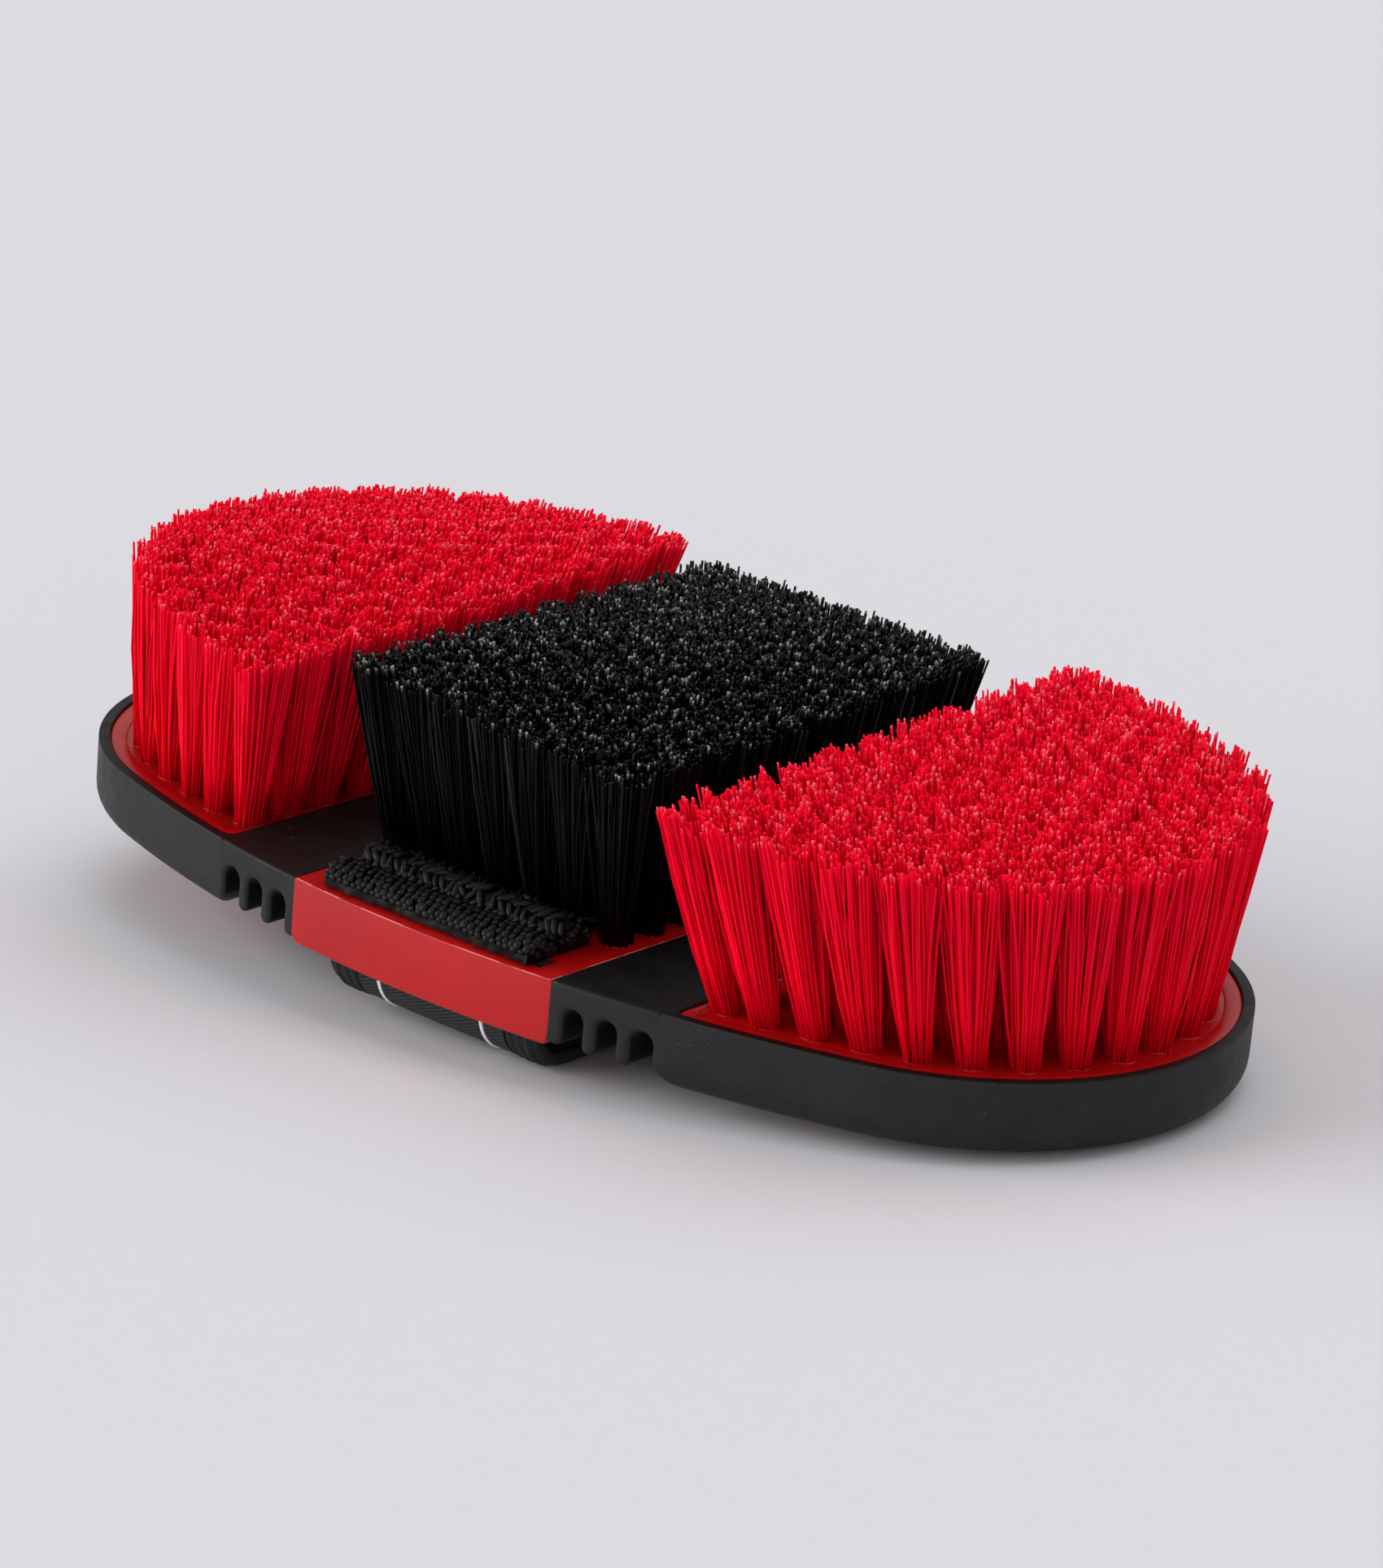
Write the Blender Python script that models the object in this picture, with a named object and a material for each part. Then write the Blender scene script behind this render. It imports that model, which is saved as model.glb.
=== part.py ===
# Flexible body brush: three tufted blocks on a grooved rubber body, with a hand strap.
# It lies bristles up on its strap. X runs along the length, Y across the width, Z up.
# The origin is on the floor, under the middle of the brush.

import math

import bmesh
import bpy

MM = 0.001

# Oval outline, seen from above: two long side arcs that run into two tip arcs
BODY_LENGTH = 200.0 * MM
BODY_WIDTH = 104.0 * MM
SIDE_RADIUS = 215.0 * MM

# Heights, from the floor up
HAND_DROP = 7.4 * MM           # floor to the back of the centre block
BLOCK_HEIGHT = 10.0 * MM       # back to top of the centre block
RIM_DEPTH = 11.4 * MM          # the end rims hang a little lower than the centre block
BRISTLE_LENGTH = 30.2 * MM     # above the tufted faces

# Clearances
SEAM_GAP = 0.3 * MM            # between pieces that touch or are moulded together
SLOT_GAP = 0.4 * MM            # strap to the walls of its slot

# Centre block
BLOCK_LENGTH = 50.0 * MM
BLOCK_CORNER = 1.2 * MM        # round along the lower left and right edges
BLOCK_EDGE = 0.4 * MM          # broken upper edges

# Rubber flex hinges
GROOVE_COUNT = 3
GROOVE_WIDTH = 3.2 * MM
FIN_WIDTH = 2.3 * MM
LAND_WIDTH = 1.9 * MM          # rubber between the centre block and the first groove
WEB_THICKNESS = 3.7 * MM       # what is left above the grooves and bends
FIN_LIFT = 0.5 * MM            # fins end this much above the centre block's back

# Rubber rims round the end blocks
RIM_WIDTH = 1.8 * MM           # seen from above
RIM_LAND = 1.6 * MM            # rubber between the last groove and the end block
RIM_CORNER = 0.8 * MM          # upright corners beside the hinge
RIM_BOTTOM_ROUND = 4.2 * MM
RIM_TOP_ROUND = 0.5 * MM
RIM_LIP_WIDTH = 8.0 * MM       # flange under the end block, from the outline
RIM_LIP_THICKNESS = 2.4 * MM

# Red end blocks, seated in the rims
END_CORNER = 3.0 * MM          # corners beside the hinge
END_SINK = 0.4 * MM            # end block top below the rim top
END_BORDER = 2.4 * MM          # raised border round the tufted slice, along the outline
END_INNER_BORDER = 0.9 * MM    # and beside the hinge
END_BACK_LIFT = 0.7 * MM       # back boss above the rim's lowest face

# Tufted slices, let into the tops of the blocks
SLICE_THICKNESS = 1.6 * MM
SLICE_SINK = 0.3 * MM          # slice top below the border
CENTRE_SLICE_LENGTH = 46.4 * MM

# Tufts and their strands
TUFT_PITCH = 7.5 * MM
TUFT_MARGIN = 2.3 * MM         # slice edge to the centre of the outer tufts
OUTLINE_MARGIN = 2.9 * MM      # the same along the curved outline of the end blocks
TUFT_RING_CORNER = 1.0 * MM    # corners of the rings of tufts
STRAND_SPREAD_ROOT = 1.15 * MM # half the distance between a tuft's two strands
STRAND_SPREAD_TIP = 1.75 * MM
STRAND_RADIUS_ROOT = 0.8 * MM
STRAND_RADIUS_TIP = 1.15 * MM
STRAND_SIDES = 3
STRAND_ROOT_DEPTH = 0.8 * MM   # how far a strand is sunk in its slice
LEAN_INWARD = 7.6 * MM         # end tufts beside the hinge lean this far at the tip
LEAN_OUTWARD = 4.3 * MM        # end tufts at the far end of the brush
LEAN_SIDE = 5.9 * MM           # end tufts at the long edges
LEAN_CENTRE_X = 4.9 * MM       # outer tufts of the centre block, along the brush
LEAN_CENTRE_Y = 6.3 * MM       # and across it
TIP_UNEVEN = 0.7 * MM          # the trimmed tips vary by this much

# Hand strap
STRAP_BAND_WIDTH = 18.6 * MM
STRAP_BAND_THICKNESS = 2.0 * MM
PIPING_DIAMETER = 0.8 * MM
BINDING_WIDTH = 9.7 * MM
BINDING_THICKNESS = 3.0 * MM
STRAP_BEND_RADIUS = 5.6 * MM   # middle line of the strap where it leaves its slot
FRONT_WALL = 3.6 * MM          # block wall in front of the strap slot

# Folded strap ends, which stop the strap on top of the centre block
STOP_LENGTH = 41.0 * MM
STOP_FRONT_WIDTH = 7.0 * MM
STOP_FRONT_HEIGHT = 3.4 * MM
STOP_REAR_WIDTH = 7.4 * MM
STOP_REAR_HEIGHT = 4.5 * MM
STOP_GROOVE_HEIGHT = 1.5 * MM
STOP_SETBACK = 1.6 * MM        # front edge of the block to the folded end
STOP_CLEARANCE = 1.5 * MM      # folded end to the tufted slice behind it

# Facets
FILLET_STEPS = 4
SIDE_STEPS = 5
TIP_STEPS = 8
ROUND_STEPS = 4
PROFILE_STEPS = 6
STRAP_BEND_STEPS = 6
ROLL_SIDES = 8
PIPING_SIDES = 6

# Worked out from the sizes above
HALF_LENGTH = BODY_LENGTH / 2
HALF_WIDTH = BODY_WIDTH / 2
TIP_RADIUS = ((2 * SIDE_RADIUS * HALF_WIDTH - HALF_LENGTH ** 2 - HALF_WIDTH ** 2)
              / (2 * (SIDE_RADIUS - HALF_LENGTH)))
SIDE_CENTRE_Y = SIDE_RADIUS - HALF_WIDTH
TIP_CENTRE_X = HALF_LENGTH - TIP_RADIUS
JOIN_ANGLE = math.atan2(SIDE_CENTRE_Y, TIP_CENTRE_X)
BACK_Z = HAND_DROP
TOP_Z = BACK_Z + BLOCK_HEIGHT
RIM_BOTTOM_Z = TOP_Z - RIM_DEPTH
END_TOP_Z = TOP_Z - END_SINK
HALF_BLOCK = BLOCK_LENGTH / 2
HINGE_START_X = HALF_BLOCK + SEAM_GAP
RIM_START_X = (HINGE_START_X + LAND_WIDTH + GROOVE_COUNT * GROOVE_WIDTH
               + (GROOVE_COUNT - 1) * FIN_WIDTH + SEAM_GAP)
END_START_X = RIM_START_X + RIM_LAND
SLICE_INSET = RIM_WIDTH + SEAM_GAP + END_BORDER
SLICE_START_X = END_START_X + SEAM_GAP + END_INNER_BORDER
OUTER_TUFT_INSET = SLICE_INSET + OUTLINE_MARGIN
OUTER_TUFT_X = SLICE_START_X + TUFT_MARGIN
STOP_REACH = STOP_SETBACK + STOP_FRONT_WIDTH + STOP_REAR_WIDTH
CENTRE_SLICE_WIDTH = BODY_WIDTH - 2 * (STOP_REACH + STOP_CLEARANCE)
PIVOT_X = (HINGE_START_X + RIM_START_X) / 2
PIVOT_Z = TOP_Z - WEB_THICKNESS / 2
SLOT_WIDTH = BINDING_THICKNESS + 2 * SLOT_GAP
SLOT_Y = HALF_WIDTH - FRONT_WALL - SLOT_WIDTH / 2
STRAP_WIDTH = STRAP_BAND_WIDTH + 2 * (PIPING_DIAMETER + BINDING_WIDTH + 2 * SEAM_GAP)
SLOT_LENGTH = STRAP_WIDTH + 2 * SLOT_GAP

RED_PLASTIC = (0.52, 0.012, 0.014)
BLACK_RUBBER = (0.022, 0.023, 0.024)
RED_FILAMENT = (0.60, 0.004, 0.012)
BLACK_FILAMENT = (0.008, 0.008, 0.008)
BLACK_WEBBING = (0.012, 0.012, 0.013)
WHITE_CORD = (0.80, 0.80, 0.82)


def clear_scene():
    for item in list(bpy.data.objects):
        bpy.data.objects.remove(item, do_unlink=True)


def make_material(name, colour, roughness):
    material = bpy.data.materials.new(name)
    material.use_nodes = True
    shader = material.node_tree.nodes["Principled BSDF"]
    shader.inputs["Base Color"].default_value = (*colour, 1.0)
    shader.inputs["Roughness"].default_value = roughness
    shader.inputs["Metallic"].default_value = 0.0
    material.diffuse_color = (*colour, 1.0)
    return material


def make_object(name, mesh_data, material, parent):
    """Turn a closed bmesh, drawn in world places, into an object that hangs on its parent."""
    bmesh.ops.recalc_face_normals(mesh_data, faces=mesh_data.faces)
    mesh = bpy.data.meshes.new(name)
    mesh_data.to_mesh(mesh)
    mesh_data.free()
    mesh.materials.append(material)
    item = bpy.data.objects.new(name, mesh)
    bpy.context.collection.objects.link(item)
    item.parent = parent
    item.matrix_parent_inverse = parent.matrix_world.inverted()
    return item


def make_empty(name, place):
    empty = bpy.data.objects.new(name, None)
    bpy.context.collection.objects.link(empty)
    empty.location = place
    bpy.context.view_layer.update()
    return empty


def side_end_x(inset):
    """Where the side arcs run into the tip arc, with the outline moved inwards by inset."""
    return TIP_CENTRE_X + (TIP_RADIUS - inset) * math.cos(JOIN_ANGLE)


def half_width_at(x, inset=0.0):
    """Half the outline's width at x, with the outline moved inwards by inset."""
    x = abs(x)
    if x <= side_end_x(inset):
        return math.sqrt((SIDE_RADIUS - inset) ** 2 - x ** 2) - SIDE_CENTRE_Y
    return math.sqrt(max((TIP_RADIUS - inset) ** 2 - (x - TIP_CENTRE_X) ** 2, 0.0))


def end_loop(inner_x, inset, corner):
    """Outline of an end, counter-clockwise: a straight inner edge, round corners, sides and tip."""
    side = SIDE_RADIUS - inset
    tip = TIP_RADIUS - inset
    corner_x = inner_x + corner
    corner_y = SIDE_CENTRE_Y - math.sqrt((side - corner) ** 2 - corner_x ** 2)
    start = math.atan2(corner_y - SIDE_CENTRE_Y, corner_x)
    front = []
    for step in range(FILLET_STEPS):
        angle = -math.pi + (start + math.pi) * step / FILLET_STEPS
        front.append((corner_x + corner * math.cos(angle), corner_y + corner * math.sin(angle)))
    for step in range(SIDE_STEPS):
        angle = start + (-JOIN_ANGLE - start) * step / SIDE_STEPS
        front.append((side * math.cos(angle), SIDE_CENTRE_Y + side * math.sin(angle)))
    for step in range(TIP_STEPS):
        angle = -JOIN_ANGLE * (1 - step / TIP_STEPS)
        front.append((TIP_CENTRE_X + tip * math.cos(angle), tip * math.sin(angle)))
    rear = [(x, -y) for x, y in reversed(front)]
    return front + [(HALF_LENGTH - inset, 0.0)] + rear


def loft(levels, side, closed):
    """Skin a stack of (loop, z) levels; side -1 mirrors it to the left end."""
    mesh = bmesh.new()
    rings = []
    for loop, z in levels:
        rings.append([mesh.verts.new((side * x, y, z)) for x, y in loop])
    pairs = list(zip(rings, rings[1:]))
    if closed:
        pairs.append((rings[-1], rings[0]))
    for lower, upper in pairs:
        for i in range(len(lower)):
            j = (i + 1) % len(lower)
            mesh.faces.new((lower[i], lower[j], upper[j], upper[i]))
    if not closed:
        mesh.faces.new(rings[0])
        mesh.faces.new(rings[-1])
    return mesh


def across_brush(profile, side, inset=0.0):
    """Extrude an (x, z) profile across the brush, out to the oval outline at each point."""
    mesh = bmesh.new()
    front = [mesh.verts.new((side * x, -half_width_at(x, inset), z)) for x, z in profile]
    rear = [mesh.verts.new((side * x, half_width_at(x, inset), z)) for x, z in profile]
    for i in range(len(profile)):
        j = (i + 1) % len(profile)
        mesh.faces.new((front[i], front[j], rear[j], rear[i]))
    ends = [mesh.faces.new(front), mesh.faces.new(rear)]
    bmesh.ops.triangulate(mesh, faces=ends)
    return mesh


def along_brush(profile, x_low, x_high):
    """Extrude a (y, z) profile along X."""
    mesh = bmesh.new()
    left = [mesh.verts.new((x_low, y, z)) for y, z in profile]
    right = [mesh.verts.new((x_high, y, z)) for y, z in profile]
    for i in range(len(profile)):
        j = (i + 1) % len(profile)
        mesh.faces.new((left[i], left[j], right[j], right[i]))
    mesh.faces.new(left)
    mesh.faces.new(right)
    return mesh


def box(low, high):
    mesh = bmesh.new()
    corners = bmesh.ops.create_cube(mesh, size=1.0)["verts"]
    for corner in corners:
        for k in range(3):
            corner.co[k] = low[k] if corner.co[k] < 0 else high[k]
    return mesh


def arc(centre, radius, start, end, steps):
    """Points on an arc in a plane, both ends included."""
    points = []
    for step in range(steps + 1):
        angle = math.radians(start + (end - start) * step / steps)
        points.append((centre[0] + radius * math.cos(angle), centre[1] + radius * math.sin(angle)))
    return points


def combine(item, tool, operation):
    """Apply a Boolean and remove its tool."""
    modifier = item.modifiers.new(operation.lower(), "BOOLEAN")
    modifier.operation = operation
    modifier.solver = "EXACT"
    modifier.object = tool
    bpy.context.view_layer.update()
    evaluated = item.evaluated_get(bpy.context.evaluated_depsgraph_get())
    mesh = bpy.data.meshes.new_from_object(evaluated)
    item.modifiers.remove(modifier)
    item.data = mesh
    bpy.data.objects.remove(tool, do_unlink=True)


def centre_block(material, parent):
    """Red moulding with a slot for the strap near each long edge and a seat for the tufts."""
    low_left = (-HALF_BLOCK + BLOCK_CORNER, BACK_Z + BLOCK_CORNER)
    low_right = (HALF_BLOCK - BLOCK_CORNER, BACK_Z + BLOCK_CORNER)
    profile = arc(low_left, BLOCK_CORNER, 180, 270, ROUND_STEPS)
    flat = low_right[0] - low_left[0]
    profile += [(low_left[0] + flat * k / PROFILE_STEPS, BACK_Z) for k in range(1, PROFILE_STEPS)]
    profile += arc(low_right, BLOCK_CORNER, 270, 360, ROUND_STEPS)
    profile += [(HALF_BLOCK, TOP_Z - BLOCK_EDGE)]
    span = BLOCK_LENGTH - 2 * BLOCK_EDGE
    profile += [(HALF_BLOCK - BLOCK_EDGE - span * k / PROFILE_STEPS, TOP_Z)
                for k in range(PROFILE_STEPS + 1)]
    profile += [(-HALF_BLOCK, TOP_Z - BLOCK_EDGE)]
    block = make_object("centre_block", across_brush(profile, 1), material, parent)
    for side in (-1, 1):
        low = (-SLOT_LENGTH / 2, side * SLOT_Y - SLOT_WIDTH / 2, BACK_Z - BLOCK_HEIGHT)
        high = (SLOT_LENGTH / 2, side * SLOT_Y + SLOT_WIDTH / 2, TOP_Z + BLOCK_HEIGHT)
        combine(block, make_object("slot", box(low, high), material, parent), "DIFFERENCE")
    seat_x = CENTRE_SLICE_LENGTH / 2 + SEAM_GAP
    seat_y = CENTRE_SLICE_WIDTH / 2 + SEAM_GAP
    seat_z = TOP_Z - SLICE_SINK - SLICE_THICKNESS - SEAM_GAP
    seat = box((-seat_x, -seat_y, seat_z), (seat_x, seat_y, TOP_Z + BLOCK_HEIGHT))
    combine(block, make_object("seat", seat, material, parent), "DIFFERENCE")
    return block


def flex_hinge(side, material, parent):
    """Rubber web with fins below it; the open grooves between them let the brush bend."""
    end_x = RIM_START_X - SEAM_GAP
    groove_top = TOP_Z - WEB_THICKNESS
    fin_bottom = BACK_Z + FIN_LIFT
    round_z = groove_top - GROOVE_WIDTH / 2
    profile = []
    x = HINGE_START_X
    profile += [(x, fin_bottom), (x + LAND_WIDTH - FIN_WIDTH / 4, fin_bottom)]
    x += LAND_WIDTH
    profile.append((x, fin_bottom + FIN_WIDTH / 4))
    for groove in range(GROOVE_COUNT):
        profile += arc((x + GROOVE_WIDTH / 2, round_z), GROOVE_WIDTH / 2, 180, 0, 2 * ROUND_STEPS)
        x += GROOVE_WIDTH
        if groove < GROOVE_COUNT - 1:
            middle = (x + FIN_WIDTH / 2, fin_bottom + FIN_WIDTH / 2)
            profile += arc(middle, FIN_WIDTH / 2, 180, 360, 2 * ROUND_STEPS)
            x += FIN_WIDTH
    span = end_x - HINGE_START_X
    profile += [(end_x - span * k / PROFILE_STEPS, TOP_Z) for k in range(PROFILE_STEPS + 1)]
    name = "right_flex_hinge" if side > 0 else "left_flex_hinge"
    return make_object(name, across_brush(profile, side), material, parent)


def end_rim(side, material, parent):
    """Rubber rim of an end: an upright wall with a full round below and a flange under the block."""
    def level(inset, z):
        return end_loop(RIM_START_X + inset, inset, RIM_CORNER), z

    levels = [level(RIM_TOP_ROUND, TOP_Z), level(0.0, TOP_Z - RIM_TOP_ROUND)]
    for step in range(ROUND_STEPS + 1):
        angle = math.radians(90 * step / ROUND_STEPS)
        inset = RIM_BOTTOM_ROUND * (1 - math.cos(angle))
        levels.append(level(inset, RIM_BOTTOM_Z + RIM_BOTTOM_ROUND * (1 - math.sin(angle))))
    lip_x = RIM_START_X + RIM_LIP_WIDTH
    lip = end_loop(lip_x, RIM_LIP_WIDTH, END_CORNER)
    wall = end_loop(END_START_X, RIM_WIDTH, END_CORNER)
    ledge_z = RIM_BOTTOM_Z + RIM_LIP_THICKNESS
    levels += [(lip, RIM_BOTTOM_Z), (lip, ledge_z), (wall, ledge_z), (wall, TOP_Z)]
    name = "right_rim" if side > 0 else "left_rim"
    return make_object(name, loft(levels, side, True), material, parent)


def slice_loop(clearance):
    """Outline of an end's tufted slice, or of its seat with a clearance."""
    return end_loop(SLICE_START_X - clearance, SLICE_INSET - clearance, END_CORNER - END_INNER_BORDER)


def end_block(side, material, parent):
    """Red end moulding: a border round the tufted slice, and a back boss through the rim's flange."""
    outer = end_loop(END_START_X + SEAM_GAP, RIM_WIDTH + SEAM_GAP, END_CORNER)
    boss_inset = RIM_LIP_WIDTH + SEAM_GAP
    boss = end_loop(RIM_START_X + boss_inset, boss_inset, END_CORNER)
    seat = slice_loop(SEAM_GAP)
    ledge_z = RIM_BOTTOM_Z + RIM_LIP_THICKNESS + SEAM_GAP
    seat_z = END_TOP_Z - SLICE_SINK - SLICE_THICKNESS - SEAM_GAP
    levels = [
        (boss, RIM_BOTTOM_Z + END_BACK_LIFT), (boss, ledge_z), (outer, ledge_z),
        (outer, END_TOP_Z), (seat, END_TOP_Z), (seat, seat_z),
    ]
    name = "right_end_block" if side > 0 else "left_end_block"
    return make_object(name, loft(levels, side, False), material, parent)


def spaced_along(path, pitch):
    """Even places along an open path, about a pitch apart, both ends included."""
    lengths = [math.dist(a, b) for a, b in zip(path, path[1:])]
    total = sum(lengths)
    count = max(round(total / pitch), 1)
    places = [path[0]]
    walked = 0.0
    index = 0
    for k in range(1, count):
        wanted = total * k / count
        while walked + lengths[index] < wanted:
            walked += lengths[index]
            index += 1
        a, b = path[index], path[index + 1]
        share = (wanted - walked) / lengths[index]
        places.append((a[0] + (b[0] - a[0]) * share, a[1] + (b[1] - a[1]) * share))
    return places + [path[-1]]


def end_tufts():
    """Tuft places of the right end: rings that follow the outline, then a short column inside."""
    inset = OUTER_TUFT_INSET
    inner_x = OUTER_TUFT_X
    places = []
    while inner_x + TUFT_RING_CORNER < side_end_x(inset):
        loop = end_loop(inner_x, inset, TUFT_RING_CORNER)
        places += spaced_along(loop, TUFT_PITCH)
        places += spaced_along([loop[-1], loop[0]], TUFT_PITCH)[1:-1]
        inset += TUFT_PITCH
        inner_x += TUFT_PITCH
    count = 2 * int(half_width_at(inner_x, inset - TUFT_PITCH) / TUFT_PITCH) - 1
    places += [(inner_x, (k - (count - 1) / 2) * TUFT_PITCH) for k in range(count)]
    return places


def centre_tufts():
    """Tuft places of the centre block: straight rows."""
    span_x = CENTRE_SLICE_LENGTH - 2 * TUFT_MARGIN
    span_y = CENTRE_SLICE_WIDTH - 2 * TUFT_MARGIN
    columns = round(span_x / TUFT_PITCH) + 1
    rows = round(span_y / TUFT_PITCH) + 1
    places = []
    for i in range(columns):
        for j in range(rows):
            x = -span_x / 2 + span_x * i / (columns - 1)
            y = -span_y / 2 + span_y * j / (rows - 1)
            places.append((x, y))
    return places


def end_lean(x, y):
    """How far an end tuft's tip leans: towards the hinge on the inner side, outwards elsewhere."""
    tip_x = HALF_LENGTH - OUTER_TUFT_INSET
    share = (x - OUTER_TUFT_X) / (tip_x - OUTER_TUFT_X)
    lean_x = -LEAN_INWARD * (1 - share) + LEAN_OUTWARD * share
    return lean_x, LEAN_SIDE * y / half_width_at(OUTER_TUFT_X, OUTER_TUFT_INSET)


def centre_lean(x, y):
    return LEAN_CENTRE_X * x / (CENTRE_SLICE_LENGTH / 2), LEAN_CENTRE_Y * y / (CENTRE_SLICE_WIDTH / 2)


def strands(places, lean, top_z, side):
    """Two tapered strands for each tuft, which spread towards their tips."""
    mesh = bmesh.new()
    for number, (x, y) in enumerate(places):
        lean_x, lean_y = lean(x, y)
        turn = 2.4 * number
        for pair in (-1, 1):
            wave = math.sin(5.1 * number + 2.3 * pair)
            along = (math.cos(turn) * pair, math.sin(turn) * pair)
            rings = []
            for radius, spread, share, z in (
                (STRAND_RADIUS_ROOT, STRAND_SPREAD_ROOT, 0.0, top_z - STRAND_ROOT_DEPTH),
                (STRAND_RADIUS_TIP, STRAND_SPREAD_TIP, 1.0,
                 top_z + BRISTLE_LENGTH - TIP_UNEVEN * (1 + wave) / 2),
            ):
                middle_x = x + lean_x * share + along[0] * spread
                middle_y = y + lean_y * share + along[1] * spread
                ring = []
                for k in range(STRAND_SIDES):
                    angle = turn + 2 * math.pi * k / STRAND_SIDES
                    px = middle_x + radius * math.cos(angle)
                    py = middle_y + radius * math.sin(angle)
                    ring.append(mesh.verts.new((side * px, py, z)))
                rings.append(ring)
            root, tip = rings
            for k in range(STRAND_SIDES):
                j = (k + 1) % STRAND_SIDES
                mesh.faces.new((root[k], root[j], tip[j], tip[k]))
            mesh.faces.new(root)
            mesh.faces.new(tip)
    return mesh


def end_bristles(side, material, parent):
    top_z = END_TOP_Z - SLICE_SINK
    loop = slice_loop(0.0)
    name = "right_bristles" if side > 0 else "left_bristles"
    levels = [(loop, top_z - SLICE_THICKNESS), (loop, top_z)]
    bristles = make_object(name, loft(levels, side, False), material, parent)
    tool = make_object("strands", strands(end_tufts(), end_lean, top_z, side), material, parent)
    combine(bristles, tool, "UNION")
    return bristles


def centre_bristles(material, parent):
    top_z = TOP_Z - SLICE_SINK
    half_x = CENTRE_SLICE_LENGTH / 2
    half_y = CENTRE_SLICE_WIDTH / 2
    board = box((-half_x, -half_y, top_z - SLICE_THICKNESS), (half_x, half_y, top_z))
    bristles = make_object("centre_bristles", board, material, parent)
    tool = make_object("strands", strands(centre_tufts(), centre_lean, top_z, 1), material, parent)
    combine(bristles, tool, "UNION")
    return bristles


def strap_path(lift, outside):
    """The strap's course in (y, z): down from one slot, flat on the floor, up into the other.

    lift is the height of the line above the floor, outside how far it lies outside the middle line.
    """
    bend_z = BINDING_THICKNESS / 2 + STRAP_BEND_RADIUS
    radius = bend_z - lift
    centre_y = SLOT_Y - STRAP_BEND_RADIUS
    path = [(-SLOT_Y - outside, TOP_Z)]
    path += arc((-centre_y, bend_z), radius, 180, 270, STRAP_BEND_STEPS)
    path += [(-y, z) for y, z in reversed(path)]
    return path


def strap_band(material, parent):
    """The flat band of the hand strap."""
    outer = strap_path(0.0, BINDING_THICKNESS / 2)
    inner = strap_path(STRAP_BAND_THICKNESS, BINDING_THICKNESS / 2 - STRAP_BAND_THICKNESS)
    profile = outer + inner[::-1]
    half = STRAP_BAND_WIDTH / 2
    return make_object("hand_strap", along_brush(profile, -half, half), material, parent)


def strap_roll(name, middle_x, width, thickness, sides, material, parent):
    """A soft roll along the strap: an oval section carried down, along the floor and up again."""
    mesh = bmesh.new()
    rings = []
    flat = math.cos(math.pi / sides)
    for k in range(sides):
        angle = 2 * math.pi * (k + 0.5) / sides
        lift = thickness / 2 * (1 + math.sin(angle) / flat)
        outside = BINDING_THICKNESS / 2 - lift
        x = middle_x + width / 2 * math.cos(angle) / flat
        rings.append([mesh.verts.new((x, y, z)) for y, z in strap_path(lift, outside)])
    for a, b in zip(rings, rings[1:] + rings[:1]):
        for i in range(len(a) - 1):
            mesh.faces.new((a[i], a[i + 1], b[i + 1], b[i]))
    mesh.faces.new([ring[0] for ring in rings])
    mesh.faces.new([ring[-1] for ring in rings])
    return make_object(name, mesh, material, parent)


def strap_stop(side, material, parent):
    """Folded, stitched strap end on top of the block: two ridges with a groove between them."""
    base_z = TOP_Z + SEAM_GAP
    edge_y = -HALF_WIDTH + STOP_SETBACK
    front_y = edge_y + STOP_FRONT_WIDTH / 2
    rear_y = edge_y + STOP_FRONT_WIDTH + STOP_REAR_WIDTH / 2
    groove_y = edge_y + STOP_FRONT_WIDTH

    def ridge(centre_y, width, height, start, end):
        rise = height - STOP_GROOVE_HEIGHT
        points = []
        for step in range(PROFILE_STEPS + 1):
            angle = math.radians(start + (end - start) * step / PROFILE_STEPS)
            points.append((centre_y + width / 2 * math.cos(angle),
                           base_z + STOP_GROOVE_HEIGHT + rise * math.sin(angle)))
        return points

    profile = [(edge_y, base_z)]
    profile += ridge(front_y, STOP_FRONT_WIDTH, STOP_FRONT_HEIGHT, 180, 0)
    profile[-1] = (groove_y, base_z + STOP_GROOVE_HEIGHT)
    profile += ridge(rear_y, STOP_REAR_WIDTH, STOP_REAR_HEIGHT, 180, 0)[1:]
    profile.append((rear_y + STOP_REAR_WIDTH / 2, base_z))
    profile = [(-side * y, z) for y, z in profile]
    name = "rear_strap_stop" if side > 0 else "front_strap_stop"
    return make_object(name, along_brush(profile, -STOP_LENGTH / 2, STOP_LENGTH / 2), material, parent)


def build_strap(webbing, binding, piping, parent):
    strap_band(webbing, parent)
    piping_x = STRAP_BAND_WIDTH / 2 + SEAM_GAP + PIPING_DIAMETER / 2
    binding_x = STRAP_WIDTH / 2 - BINDING_WIDTH / 2
    for side, word in ((-1, "left"), (1, "right")):
        strap_roll("strap_piping_" + word, side * piping_x, PIPING_DIAMETER, PIPING_DIAMETER,
                   PIPING_SIDES, piping, parent)
        strap_roll("strap_binding_" + word, side * binding_x, BINDING_WIDTH, BINDING_THICKNESS,
                   ROLL_SIDES, binding, parent)
        strap_stop(side, webbing, parent)


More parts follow.
